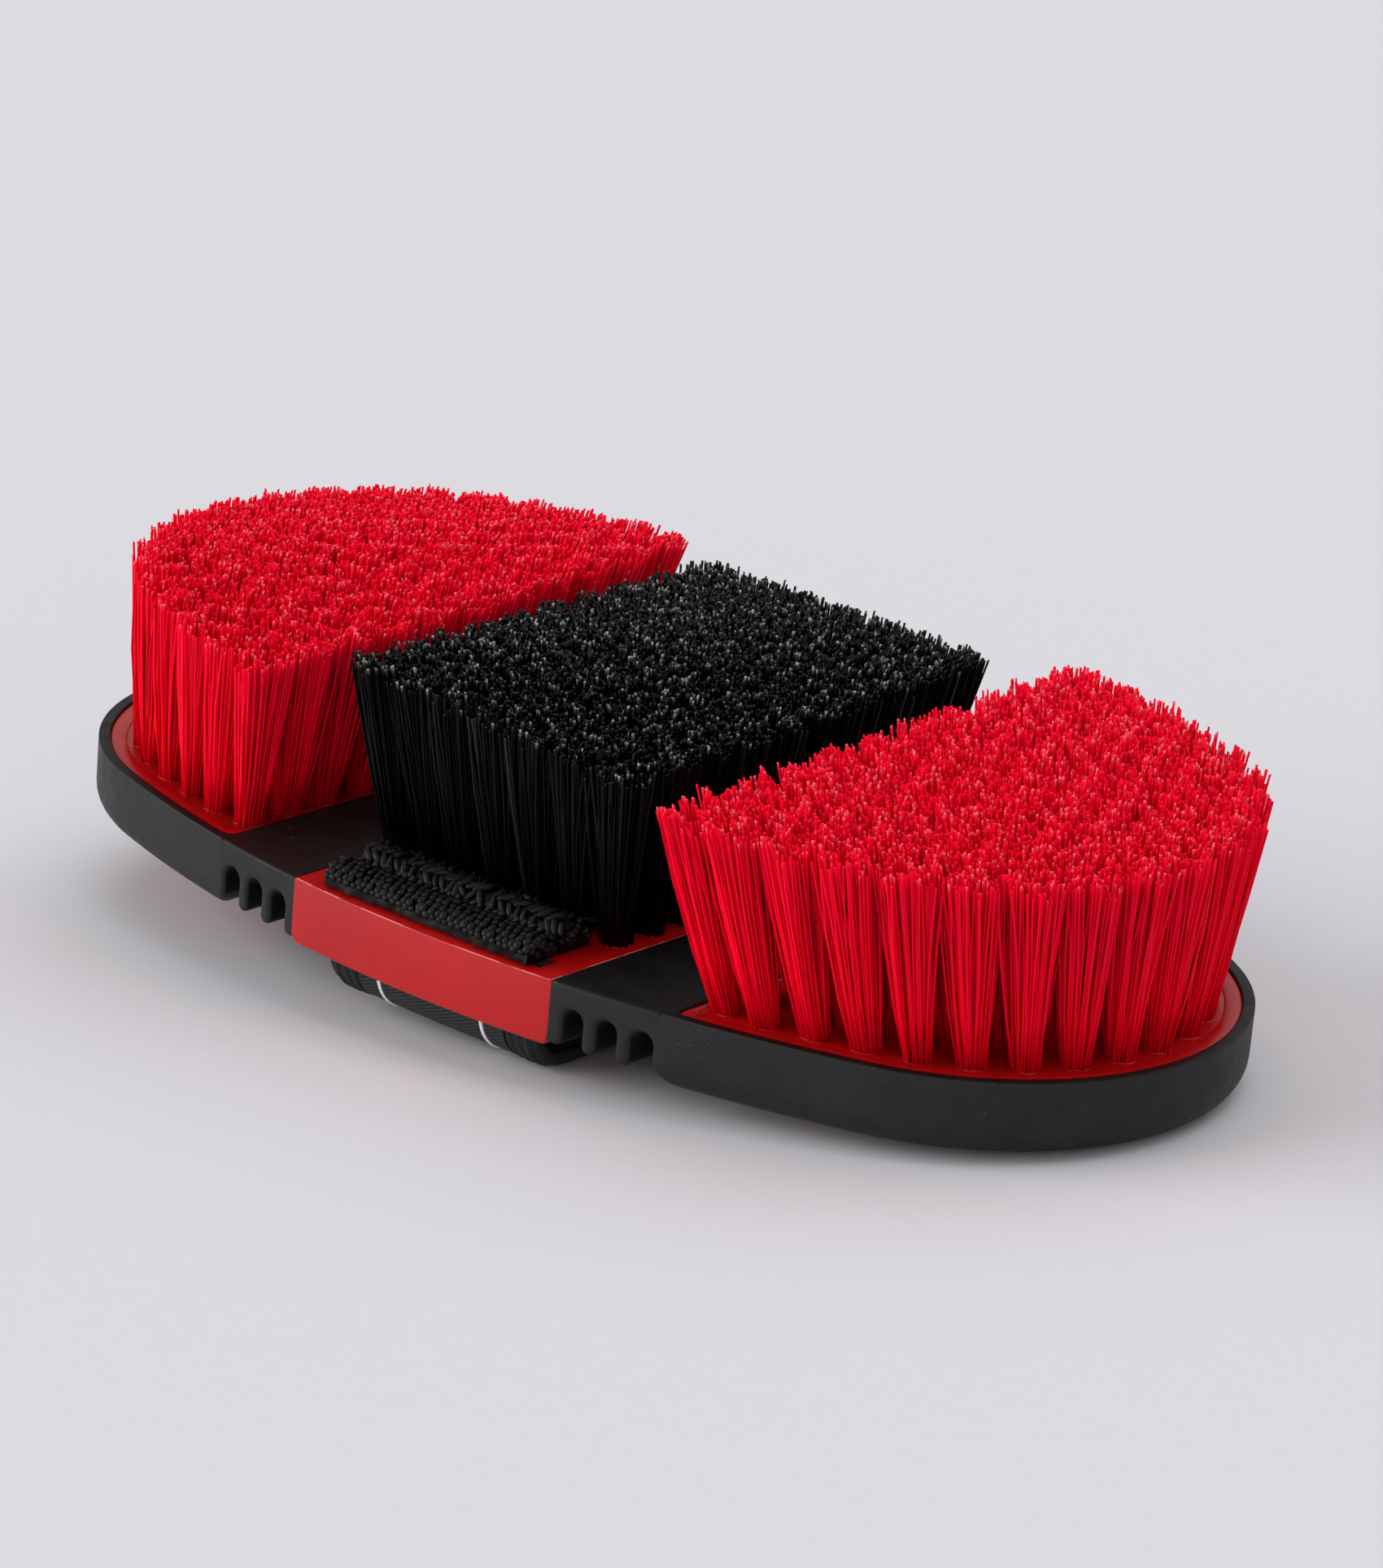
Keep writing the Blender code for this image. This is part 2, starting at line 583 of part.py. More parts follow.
def main():
    clear_scene()
    red = make_material("red_plastic", RED_PLASTIC, 0.38)
    rubber = make_material("black_rubber", BLACK_RUBBER, 0.75)
    red_filament = make_material("red_filament", RED_FILAMENT, 0.4)
    black_filament = make_material("black_filament", BLACK_FILAMENT, 0.4)
    webbing = make_material("black_webbing", BLACK_WEBBING, 0.85)
    binding = make_material("black_binding", BLACK_WEBBING, 0.9)
    piping = make_material("white_piping", WHITE_CORD, 0.7)

    centre = make_empty("centre_frame", (0.0, 0.0, 0.0))
    centre_block(red, centre)
    centre_bristles(black_filament, centre)
    build_strap(webbing, binding, piping, centre)
    for side, word in ((-1, "left"), (1, "right")):
        pivot = make_empty(word + "_pivot", (side * PIVOT_X, 0.0, PIVOT_Z))
        flex_hinge(side, rubber, centre)
        end_rim(side, rubber, pivot)
        end_block(side, red, pivot)
        end_bristles(side, red_filament, pivot)


main()
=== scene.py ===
import math

import bmesh
import bpy
import numpy as np
from mathutils import Matrix, Vector


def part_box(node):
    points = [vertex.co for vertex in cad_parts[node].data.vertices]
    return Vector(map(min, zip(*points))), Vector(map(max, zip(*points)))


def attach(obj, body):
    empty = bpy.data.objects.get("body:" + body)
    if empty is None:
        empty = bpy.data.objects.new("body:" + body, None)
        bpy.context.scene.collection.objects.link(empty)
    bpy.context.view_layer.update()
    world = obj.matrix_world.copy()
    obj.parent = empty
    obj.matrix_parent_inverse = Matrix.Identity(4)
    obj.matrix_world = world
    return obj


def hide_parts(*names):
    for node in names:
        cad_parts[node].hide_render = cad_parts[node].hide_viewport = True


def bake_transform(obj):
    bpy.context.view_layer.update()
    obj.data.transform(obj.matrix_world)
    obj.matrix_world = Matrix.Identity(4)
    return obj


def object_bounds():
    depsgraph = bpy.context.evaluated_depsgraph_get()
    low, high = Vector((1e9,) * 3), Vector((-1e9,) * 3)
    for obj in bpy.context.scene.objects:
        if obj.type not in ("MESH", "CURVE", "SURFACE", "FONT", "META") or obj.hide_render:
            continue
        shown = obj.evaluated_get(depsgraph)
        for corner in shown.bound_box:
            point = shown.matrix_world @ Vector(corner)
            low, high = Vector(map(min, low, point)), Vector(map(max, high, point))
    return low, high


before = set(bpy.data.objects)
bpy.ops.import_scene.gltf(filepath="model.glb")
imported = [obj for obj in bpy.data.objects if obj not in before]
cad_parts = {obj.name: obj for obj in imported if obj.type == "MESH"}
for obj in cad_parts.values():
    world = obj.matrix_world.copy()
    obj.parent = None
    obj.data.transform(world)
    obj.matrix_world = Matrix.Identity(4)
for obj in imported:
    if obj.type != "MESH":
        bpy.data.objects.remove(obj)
cadLow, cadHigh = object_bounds()
mm = 0.001
rng = np.random.default_rng(11)
ends = ((-1, "left"), (1, "right"))

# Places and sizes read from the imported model
blockLow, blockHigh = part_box("centre_block")
rimLow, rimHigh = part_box("right_rim")
hingeLow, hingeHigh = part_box("right_flex_hinge")
plateLow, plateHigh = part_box("right_end_block")
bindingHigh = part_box("strap_binding_right")[1]
topZ, backZ = blockHigh.z, blockLow.z
print("frame loaded:", len(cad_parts), "nodes")

# Oval outline, seen from above: two long side arcs that run into two tip arcs
outline = {"halfLength": rimHigh.x, "halfWidth": blockHigh.y, "sideRadius": 215 * mm}
halfLength, halfWidth, sideRadius = outline.values()
tipRadius = (2 * sideRadius * halfWidth - halfLength ** 2 - halfWidth ** 2) / (2 * (sideRadius - halfLength))
sideMidY = sideRadius - halfWidth
tipMidX = halfLength - tipRadius
joinAngle = math.atan2(sideMidY, tipMidX)


def sideEndX(inset):
    return tipMidX + (tipRadius - inset) * math.cos(joinAngle)


def halfWidthAt(x, inset=0.0):
    x = np.abs(np.asarray(x, float))
    side = np.sqrt(np.maximum((sideRadius - inset) ** 2 - x ** 2, 0)) - sideMidY
    tip = np.sqrt(np.maximum((tipRadius - inset) ** 2 - (x - tipMidX) ** 2, 0))
    return np.where(x <= sideEndX(inset), side, tip)


def onArc(angles, radius, middle):
    return np.stack([middle[0] + radius * np.cos(angles), middle[1] + radius * np.sin(angles)], 1)


def endLoop(innerX, inset, corner, steps=(8, 24, 30)):
    # straight inner edge, round corners, sides and tip, moved inwards by inset
    side, tip = sideRadius - inset, tipRadius - inset
    cornerX = innerX + corner
    cornerY = sideMidY - math.sqrt((side - corner) ** 2 - cornerX ** 2)
    start = math.atan2(cornerY - sideMidY, cornerX)
    front = np.concatenate([
        onArc(np.linspace(-math.pi, start, steps[0], endpoint=False), corner, (cornerX, cornerY)),
        onArc(np.linspace(start, -joinAngle, steps[1], endpoint=False), side, (0, sideMidY)),
        onArc(np.linspace(-joinAngle, 0, steps[2], endpoint=False), tip, (tipMidX, 0)),
    ])
    return np.concatenate([front, [[halfLength - inset, 0]], front[::-1] * (1, -1)])


# Mesh helpers

def loftRings(rings, capStart=False, capEnd=False, closed=False):
    # skin closed rings of equal length
    count, size = len(rings), len(rings[0])
    faces = []
    for a in range(count if closed else count - 1):
        b = (a + 1) % count
        for i in range(size):
            j = (i + 1) % size
            faces.append((a * size + i, a * size + j, b * size + j, b * size + i))
    if capStart:
        faces.append(tuple(range(size))[::-1])
    if capEnd:
        faces.append(tuple(range((count - 1) * size, count * size)))
    return np.concatenate(rings), faces


def atHeight(loop, z, side=1):
    return np.column_stack([loop[:, 0] * side, loop[:, 1], np.full(len(loop), z)])


def joinShapes(shapes):
    # several (points, faces) as one
    points, faces, start = [], [], 0
    for somePoints, someFaces in shapes:
        points.append(somePoints)
        faces += [tuple(i + start for i in face) for face in someFaces]
        start += len(somePoints)
    return np.concatenate(points), faces


def inScene(name, data):
    item = bpy.data.objects.new(name, data)
    bpy.context.scene.collection.objects.link(item)
    return item


def makePiece(name, points, faces, material, sharpAngle=40, outward=True):
    mesh = bpy.data.meshes.new(name)
    mesh.from_pydata(np.asarray(points).tolist(), [], faces)
    if outward:
        soft = bmesh.new()
        soft.from_mesh(mesh)
        bmesh.ops.recalc_face_normals(soft, faces=soft.faces)
        soft.to_mesh(mesh)
        soft.free()
    mesh.shade_smooth()
    if sharpAngle:
        mesh.set_sharp_from_angle(angle=math.radians(sharpAngle))
    mesh.materials.append(material)
    return inScene(name, mesh)


def pointValues(piece, name, values):
    layer = piece.data.attributes.new(name, "FLOAT", "POINT")
    layer.data.foreach_set("value", np.asarray(values, np.float32))


def cutOut(piece, low, high):
    # cut a box out of a piece
    tool = bmesh.new()
    bmesh.ops.create_cube(tool, size=1.0)
    for corner in tool.verts:
        corner.co = [low[k] if corner.co[k] < 0 else high[k] for k in range(3)]
    mesh = bpy.data.meshes.new("cutter")
    tool.to_mesh(mesh)
    tool.free()
    cutter = inScene("cutter", mesh)
    cut = piece.modifiers.new("cut", "BOOLEAN")
    cut.operation = "DIFFERENCE"
    cut.solver = "EXACT"
    cut.object = cutter
    bpy.context.view_layer.update()
    done = bpy.data.meshes.new_from_object(piece.evaluated_get(bpy.context.evaluated_depsgraph_get()))
    piece.modifiers.remove(cut)
    piece.data = done
    bpy.data.objects.remove(cutter, do_unlink=True)


# Material helpers

def newMaterial(name, shine=0.5, **sockets):
    material = bpy.data.materials.new(name)
    material.use_nodes = True
    shader = material.node_tree.nodes["Principled BSDF"]
    shader.inputs["Specular IOR Level"].default_value = shine
    for socket, value in sockets.items():
        shader.inputs[socket].default_value = value
    return material, shader


def addNode(material, kind, sockets=None, **settings):
    made = material.node_tree.nodes.new("ShaderNode" + kind)
    for key, value in settings.items():
        setattr(made, key, value)
    for key, value in (sockets or {}).items():
        if isinstance(value, bpy.types.NodeSocket):
            material.node_tree.links.new(value, made.inputs[key])
        else:
            made.inputs[key].default_value = value
    return made


def wire(material, output, shader, socket):
    material.node_tree.links.new(output, shader.inputs[socket])


def inPlace(material, stretch=(1, 1, 1)):
    # the piece's own coordinates, in metres
    place = addNode(material, "TexCoord")
    return addNode(material, "Mapping", {"Vector": place.outputs["Object"], "Scale": stretch}).outputs[0]


def noiseOf(material, place, scale, detail=3.0, roughness=0.55):
    return addNode(material, "TexNoise", {
        "Vector": place, "Scale": scale, "Detail": detail, "Roughness": roughness}).outputs["Fac"]


def rampOf(material, share, stops):
    ramp = addNode(material, "ValToRGB", {"Fac": share})
    marks = ramp.color_ramp.elements
    while len(marks) < len(stops):
        marks.new(0.5)
    for mark, (at, colour) in zip(marks, stops):
        mark.position = at
        mark.color = (*colour, 1)
    return ramp.outputs["Color"]


def mixOf(material, share, low, high):
    mixed = addNode(material, "Mix", data_type="RGBA")
    for index, value in ((0, share), (6, low), (7, high)):
        if isinstance(value, bpy.types.NodeSocket):
            material.node_tree.links.new(value, mixed.inputs[index])
        else:
            mixed.inputs[index].default_value = value if index == 0 else (*value, 1)
    return mixed.outputs[2]


def mathOf(material, how, a, b=0.0):
    return addNode(material, "Math", {0: a, 1: b}, operation=how).outputs[0]


def valueOf(material, name):
    return addNode(material, "Attribute", attribute_name=name).outputs["Fac"]


def bumpOf(material, height, strength, distance, under=None):
    sockets = {"Height": height, "Strength": strength, "Distance": distance}
    if under is not None:
        sockets["Normal"] = under
    return addNode(material, "Bump", sockets).outputs["Normal"]


# Finishes

def redPlasticFinish():
    look = {"deep": (0.40, 0.0015, 0.0025), "bright": (0.46, 0.002, 0.003), "wornAndHighlight": (0.80, 0.30, 0.26)}
    material, shader = newMaterial("redPlastic", 0.38)
    place = inPlace(material)
    colour = rampOf(material, noiseOf(material, place, 70), [(0.3, look["deep"]), (0.7, look["bright"])])
    # rubbed edges, partly real wear and partly a painted highlight, broken up along their length
    broken = rampOf(material, noiseOf(material, place, 160, 5), [(0.47, (0, 0, 0)), (0.53, (1, 1, 1))])
    rubbedAndLit = mathOf(material, "MULTIPLY", valueOf(material, "edgeWearAndHighlight"), broken)
    wire(material, mixOf(material, rubbedAndLit, colour, look["wornAndHighlight"]), shader, "Base Color")
    drawn = noiseOf(material, inPlace(material, (0.15, 1, 1)), 1400, 2)     # faint marks along the wall
    grain = noiseOf(material, place, 5200, 2)
    normal = bumpOf(material, drawn, 0.12, 0.05 * mm)
    wire(material, bumpOf(material, grain, 0.10, 0.03 * mm, normal), shader, "Normal")
    gloss = rampOf(material, noiseOf(material, place, 240), [(0.3, (0.30,) * 3), (0.75, (0.44,) * 3)])
    wire(material, gloss, shader, "Roughness")
    return material


def rubberFinish():
    look = {
        "top": ((0.0016, 0.0010, 0.0010), (0.0030, 0.0020, 0.0020)),
        "wall": ((0.0106, 0.0107, 0.0110), (0.0150, 0.0151, 0.0155)), "dust": (0.11, 0.10, 0.10),
    }
    material, shader = newMaterial("blackRubber", 0.25)
    place = inPlace(material)
    cloudy = noiseOf(material, place, 160)
    # painted light: the top face and groove insides get a dark colour with painted shade and a painted
    # reddish reflection, the outer walls a paler colour painted as lit
    top, wall = ([(0.3, look[key][0]), (0.7, look[key][1])] for key in ("top", "wall"))
    shadedTop, litWall = rampOf(material, cloudy, top), rampOf(material, cloudy, wall)
    colour = mixOf(material, valueOf(material, "wall"), shadedTop, litWall)
    dots = rampOf(material, noiseOf(material, place, 2600, 1), [(0.735, (0, 0, 0)), (0.76, (1, 1, 1))])
    patches = rampOf(material, noiseOf(material, place, 90, 2), [(0.48, (0, 0, 0)), (0.66, (1, 1, 1))])
    dusty = mathOf(material, "MULTIPLY", dots, patches)
    wire(material, mixOf(material, dusty, colour, look["dust"]), shader, "Base Color")
    haze = rampOf(material, noiseOf(material, place, 330), [(0.3, (0.48,) * 3), (0.7, (0.62,) * 3)])
    wire(material, haze, shader, "Roughness")
    wire(material, bumpOf(material, noiseOf(material, place, 3400, 2), 0.22, 0.05 * mm), shader, "Normal")
    return material


def filamentFinish(name, look):
    # each strand has its own tone, a deeper root and a pale cut end; the pale end is partly the cut fibre's
    # own paler colour and partly painted highlight
    material, shader = newMaterial(name, look["shine"], Roughness=look["roughness"])
    along = mixOf(material, valueOf(material, "along"), look["root"], look["tip"])
    tone = valueOf(material, "tone")
    toned = addNode(material, "HueSaturation", {"Color": along, "Value": tone}).outputs[0]
    wire(material, mixOf(material, valueOf(material, "cut"), toned, look["cut"]), shader, "Base Color")
    streak = noiseOf(material, inPlace(material, (1, 1, 0.05)), 5200, 1)
    wire(material, bumpOf(material, streak, 0.15, 0.02 * mm), shader, "Normal")
    return material


def clothCoords(material):
    # across the strap and along its run, in millimetres
    return addNode(material, "UVMap", uv_map="strapRun").outputs[0]


def waveScale(pitch):
    # scale of a wave texture with bands this far apart
    return math.pi / (10 * pitch)


def twillFinish():
    look = {
        "yarn": (0.016, 0.016, 0.017), "gap": (0.002, 0.002, 0.002),
        "ribPitch": 0.5, "threadPitch": 0.34, "lean": 20,
    }
    material, shader = newMaterial("blackTwill", Roughness=0.7)
    turned = addNode(material, "Mapping", {
        "Vector": clothCoords(material), "Rotation": (0, 0, math.radians(look["lean"]))}).outputs[0]
    ribs = addNode(material, "TexWave", {
        "Vector": turned, "Scale": waveScale(look["ribPitch"]), "Distortion": 0.5,
        "Detail": 1.0, "Detail Scale": 3.0}, bands_direction="Y").outputs["Fac"]
    threads = addNode(material, "TexWave", {
        "Vector": turned, "Scale": waveScale(look["threadPitch"]), "Distortion": 1.2,
        "Detail": 1.0}, bands_direction="X").outputs["Fac"]
    weave = mathOf(material, "MULTIPLY", ribs, mathOf(material, "ADD", threads, 0.8))
    # painted shade: the weave's gaps are coloured far darker than the yarn
    wire(material, rampOf(material, weave, [(0.15, look["gap"]), (0.8, look["yarn"])]), shader, "Base Color")
    wire(material, bumpOf(material, weave, 0.8, 0.15 * mm), shader, "Normal")
    return material


def knitFinish(name, look):
    material, shader = newMaterial(name, look["shine"], Roughness=look["roughness"])
    fibres = noiseOf(material, inPlace(material, (1, 0.25, 1)), 3600, 3)
    # painted light: the yarn's crowns are painted lighter and the spaces between and under the loops painted
    # as shade
    hollow = valueOf(material, "hollow")         # 1 on the crown of the yarn, 0 between
    lit = mathOf(material, "MULTIPLY", hollow, mathOf(material, "ADD", fibres, 0.5))
    wire(material, rampOf(material, lit, [(0.1, look["gap"]), (0.85, look["yarn"])]), shader, "Base Color")
    fuzz = noiseOf(material, inPlace(material), 900, 2)
    normal = bumpOf(material, fibres, 0.5, 0.10 * mm)
    wire(material, bumpOf(material, fuzz, 0.25, 0.10 * mm, normal), shader, "Normal")
    return material


def pipingFinish():
    look = {"hollow": (0.80, 0.80, 0.82), "crown": (0.90, 0.90, 0.91), "twistPitch": 0.6, "lean": 40}
    material, shader = newMaterial("whitePiping", Roughness=0.6)
    turned = addNode(material, "Mapping", {
        "Vector": clothCoords(material), "Rotation": (0, 0, math.radians(look["lean"]))}).outputs[0]
    twist = addNode(material, "TexWave", {
        "Vector": turned, "Scale": waveScale(look["twistPitch"])}, bands_direction="Y").outputs["Fac"]
    # painted shade in the twist's hollows, lighter crowns
    colour = rampOf(material, twist, [(0.1, look["hollow"]), (0.7, look["crown"])])
    wire(material, colour, shader, "Base Color")
    wire(material, bumpOf(material, twist, 0.25, 0.08 * mm), shader, "Normal")
    return material


redPlastic = redPlasticFinish()
blackRubber = rubberFinish()
redFilament = filamentFinish("redFilament", {
    "root": (1.0, 0.001, 0.016), "tip": (1.0, 0.002, 0.032), "cut": (1.0, 0.16, 0.21),
    "roughness": 0.5, "shine": 0.05})
blackFilament = filamentFinish("blackFilament", {
    "root": (0.0010,) * 3, "tip": (0.0016,) * 3, "cut": (0.36, 0.36, 0.35),
    "roughness": 0.4, "shine": 0.17})
blackTwill = twillFinish()
blackKnit = knitFinish("blackKnit", {
    "yarn": (0.0085, 0.0072, 0.0063), "gap": (0.0003,) * 3, "roughness": 0.42, "shine": 0.16})
blackBinding = knitFinish("blackBinding", {
    "yarn": (0.012,) * 3, "gap": (0.001,) * 3, "roughness": 0.8, "shine": 0.4})
whitePiping = pipingFinish()
print("finishes made")

# Tuft places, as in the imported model
tufts = {
    "pitch": 7.5 * mm, "margin": 2.3 * mm, "ringCorner": 1.0 * mm, "outerInset": 7.4 * mm,
    "innerBorder": 0.9 * mm, "sliceSink": 0.3 * mm, "collarRadius": 2.1 * mm, "collarTube": 0.18 * mm,
    "collarSides": 16, "collarSteps": 6, "collarWrap": 0.4, "collarSink": 0.25,
    "collarWave": 0.05, "collarRough": 0.03,
    "centreColumns": 7, "centreRows": 10, "centreReach": (20.9 * mm, 32.2 * mm),
}
outerTuftX = plateLow.x + tufts["innerBorder"] + tufts["margin"]


def spacedAlong(path, pitch):
    # even places along an open path, both ends included
    walked = np.concatenate([[0], np.cumsum(np.linalg.norm(np.diff(path, axis=0), axis=1))])
    count = max(round(walked[-1] / pitch), 1)
    wanted = np.linspace(0, walked[-1], count + 1)
    return np.column_stack([np.interp(wanted, walked, path[:, k]) for k in (0, 1)])


def endTuftPlaces():
    # rings that follow the outline, then a short column; also how many are in the first ring
    inset, innerX, pitch = tufts["outerInset"], outerTuftX, tufts["pitch"]
    rings = []
    while innerX + tufts["ringCorner"] < sideEndX(inset):
        loop = endLoop(innerX, inset, tufts["ringCorner"])
        inner = spacedAlong(loop[[-1, 0]], pitch)[1:-1]
        rings.append(np.concatenate([spacedAlong(loop, pitch), inner]))
        inset += pitch
        innerX += pitch
    count = 2 * int(halfWidthAt(innerX, inset - pitch) / pitch) - 1
    across = (np.arange(count) - (count - 1) / 2) * pitch
    return np.concatenate(rings + [np.column_stack([np.full(count, innerX), across])]), len(rings[0])


def centreTuftPlaces():
    reachX, reachY = tufts["centreReach"]
    x = np.linspace(-reachX, reachX, tufts["centreColumns"])
    y = np.linspace(-reachY, reachY, tufts["centreRows"])
    return np.array([(a, b) for a in x for b in y])


def tuftCollars(places, z, side):
    # raised burr round each tuft hole, a little uneven
    wrap = tufts["collarWrap"]
    around = np.linspace(0, 2 * math.pi, tufts["collarSides"], endpoint=False)
    shapes = []
    for x, y in places:
        wobble = 1 + tufts["collarWave"] * np.sin(3 * around + 40 * x / halfWidth)
        wobble = wobble + rng.normal(0, tufts["collarRough"], len(around))
        rings = []
        for angle in np.linspace(-wrap, math.pi + wrap, tufts["collarSteps"]):
            radius = (tufts["collarRadius"] + tufts["collarTube"] * math.cos(angle)) * wobble
            rings.append(np.column_stack([
                side * (x + radius * np.cos(around)), y + radius * np.sin(around),
                z + tufts["collarTube"] * (math.sin(angle) - tufts["collarSink"]) * wobble]))
        shapes.append(loftRings(rings))
    return joinShapes(shapes)


endPlaces, firstRing = endTuftPlaces()
centrePlaces = centreTuftPlaces()
print("tufts:", 2 * len(endPlaces) + len(centrePlaces))


# Red centre block: a moulding with a slot for the strap near each long edge
centreBlock = {
    "lowerCorner": 1.2 * mm, "endEdge": 0.3 * mm, "topEdge": 0.17 * mm, "backEdge": 0.6 * mm,
    "column": 2.0 * mm, "slotGap": 0.4 * mm, "slotDepth": 3.8 * mm, "slotPast": 5 * mm,
    "edgeWearAndHighlight": 0.6, "wearAndHighlightFrom": 0.005 * mm, "wearAndHighlightShare": 0.6,
}


def roundedDepth(reach, radius):
    # how far a rounded edge has dropped at a distance from its end
    reach = np.clip(reach, 0, radius)
    return radius - np.sqrt(radius ** 2 - (radius - reach) ** 2)


def buildCentreBlock():
    s = centreBlock
    half = blockHigh.x
    turn = np.radians(np.linspace(0, 90, 9))
    lower = half - s["lowerCorner"] * (1 - np.sin(turn))
    upper = half - s["endEdge"] * (1 - np.sin(turn[::2]))
    inner = np.arange(0, half - s["lowerCorner"], s["column"])
    columns = np.unique(np.round(np.concatenate([lower, upper, inner]), 7))
    columns = np.concatenate([-columns[:0:-1], columns])
    quarter = np.radians(np.linspace(0, 90, 6))
    rings = []
    for x in columns:
        reach = half - abs(x)
        low = backZ + roundedDepth(reach, s["lowerCorner"])
        high = topZ - roundedDepth(reach, s["endEdge"])
        wide = float(halfWidthAt(x))
        back, top = s["backEdge"], s["topEdge"]
        under = onArc(1.5 * math.pi - quarter, back, (-wide + back, low + back))
        over = onArc(math.pi - quarter, top, (-wide + top, high - top))
        front = np.concatenate([under, over])
        ring = np.concatenate([front, front[::-1] * (-1, 1)])
        rings.append(np.column_stack([np.full(len(ring), x), ring]))
    piece = makePiece("centre_block_moulding", *loftRings(rings, True, True), redPlastic)
    slotX = bindingHigh.x + s["slotGap"]
    slotY = bindingHigh.y + s["slotGap"]
    for side in (-1, 1):
        y = sorted((side * slotY, side * (slotY - s["slotDepth"])))
        cutOut(piece, (-slotX, y[0], backZ - s["slotPast"]), (slotX, y[1], topZ + s["slotPast"]))
    mesh = piece.data
    mesh.set_sharp_from_angle(angle=math.radians(40))
    at = np.array([v.co for v in mesh.vertices])
    # pale line along the top edges: partly rubbed wear, partly painted highlight
    drop = topZ - at[:, 2]
    nearSide = halfWidthAt(at[:, 0]) - np.abs(at[:, 1]) < s["topEdge"]
    onEdge = nearSide & (drop > s["wearAndHighlightFrom"]) & (drop < s["topEdge"] * s["wearAndHighlightShare"])
    pointValues(piece, "edgeWearAndHighlight", s["edgeWearAndHighlight"] * onEdge)
    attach(piece, "centre")
    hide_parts("centre_block")
    collars = makePiece("centre_tuft_holes", *tuftCollars(centrePlaces, topZ, 1), redPlastic)
    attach(collars, "centre")


buildCentreBlock()
print("centre block made")

# Rubber rims round the end plates; a post of the hinge's mesh covers their upper inner wall
rim = {
    "width": 1.8 * mm, "land": 1.6 * mm, "corner": 0.8 * mm, "bottomRound": 4.2 * mm, "topRound": 0.25 * mm,
    "lipWidth": 8.0 * mm, "lipThickness": 2.4 * mm, "plateCorner": 1.6 * mm, "innerRound": 0.25 * mm,
    "post": 1.2 * mm, "sharp": 0.05 * mm, "wallSkin": 0.05 * mm,
}


def markLitWalls(piece, topFaceZ, depth):
    # the outer side walls are painted paler, as lit, than the top face and the grooves, which get painted
    # shade
    at = np.array([vertex.co for vertex in piece.data.vertices])
    inwards = halfWidthAt(at[:, 0]) - np.abs(at[:, 1])
    pointValues(piece, "wall", (inwards < rim["wallSkin"]) | ((at[:, 2] < topFaceZ) & (inwards < depth)))


def buildRim(side, word):
    s = rim
    start, bottom, top = rimLow.x, rimLow.z, rimHigh.z
    levels = []
    for turn in np.radians(np.linspace(90, 0, 9)):
        inset = s["bottomRound"] * (1 - math.cos(turn))
        z = bottom + s["bottomRound"] * (1 - math.sin(turn))
        levels.append((endLoop(start + inset, inset, s["corner"]), z))
    levels.append((endLoop(start + s["post"], 0, s["sharp"]), bottom + s["bottomRound"] + s["sharp"]))
    for turn in np.radians(np.linspace(0, 90, 6)):
        inset = s["topRound"] * (1 - math.cos(turn))
        z = top - s["topRound"] * (1 - math.sin(turn))
        levels.append((endLoop(start + s["post"], inset, s["sharp"]), z))
    inner = start + s["land"]
    for turn in np.radians(np.linspace(90, 0, 4)):
        more = s["innerRound"] * math.cos(turn)
        loop = endLoop(inner - s["innerRound"] + more, s["width"] - s["innerRound"] + more, s["plateCorner"])
        levels.append((loop, top - s["innerRound"] * (1 - math.sin(turn))))
    ledge = bottom + s["lipThickness"]
    lip = endLoop(start + s["lipWidth"], s["lipWidth"], s["plateCorner"])
    levels += [(endLoop(inner, s["width"], s["plateCorner"]), ledge), (lip, ledge), (lip, bottom)]
    rings = [atHeight(loop, z, side) for loop, z in levels]
    piece = makePiece(word + "_rubber_rim", *loftRings(rings, closed=True), blackRubber, 45)
    markLitWalls(piece, top - s["topRound"] / 2, halfWidth)
    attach(piece, word + "_end")
    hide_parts(word + "_rim")


# Rubber flex hinges: a web with fins below it, open grooves between them
flexHinge = {
    "grooves": 3, "grooveWidth": 3.2 * mm, "finWidth": 2.3 * mm, "land": 1.9 * mm, "web": 3.7 * mm,
    "landRound": 1.1 * mm, "edgeRound": 0.5 * mm, "finRound": 0.85 * mm, "seam": 0.3 * mm,
    "arcSteps": 13, "roundSteps": 7, "drop": 0.3 * mm, "postLow": 1.2 * mm,
    "heel": 0.8 * mm, "footRise": 1.5 * mm, "nick": 0.05 * mm, "nickShare": 0.9, "hair": 0.02 * mm,
    "topSteps": 18,
}


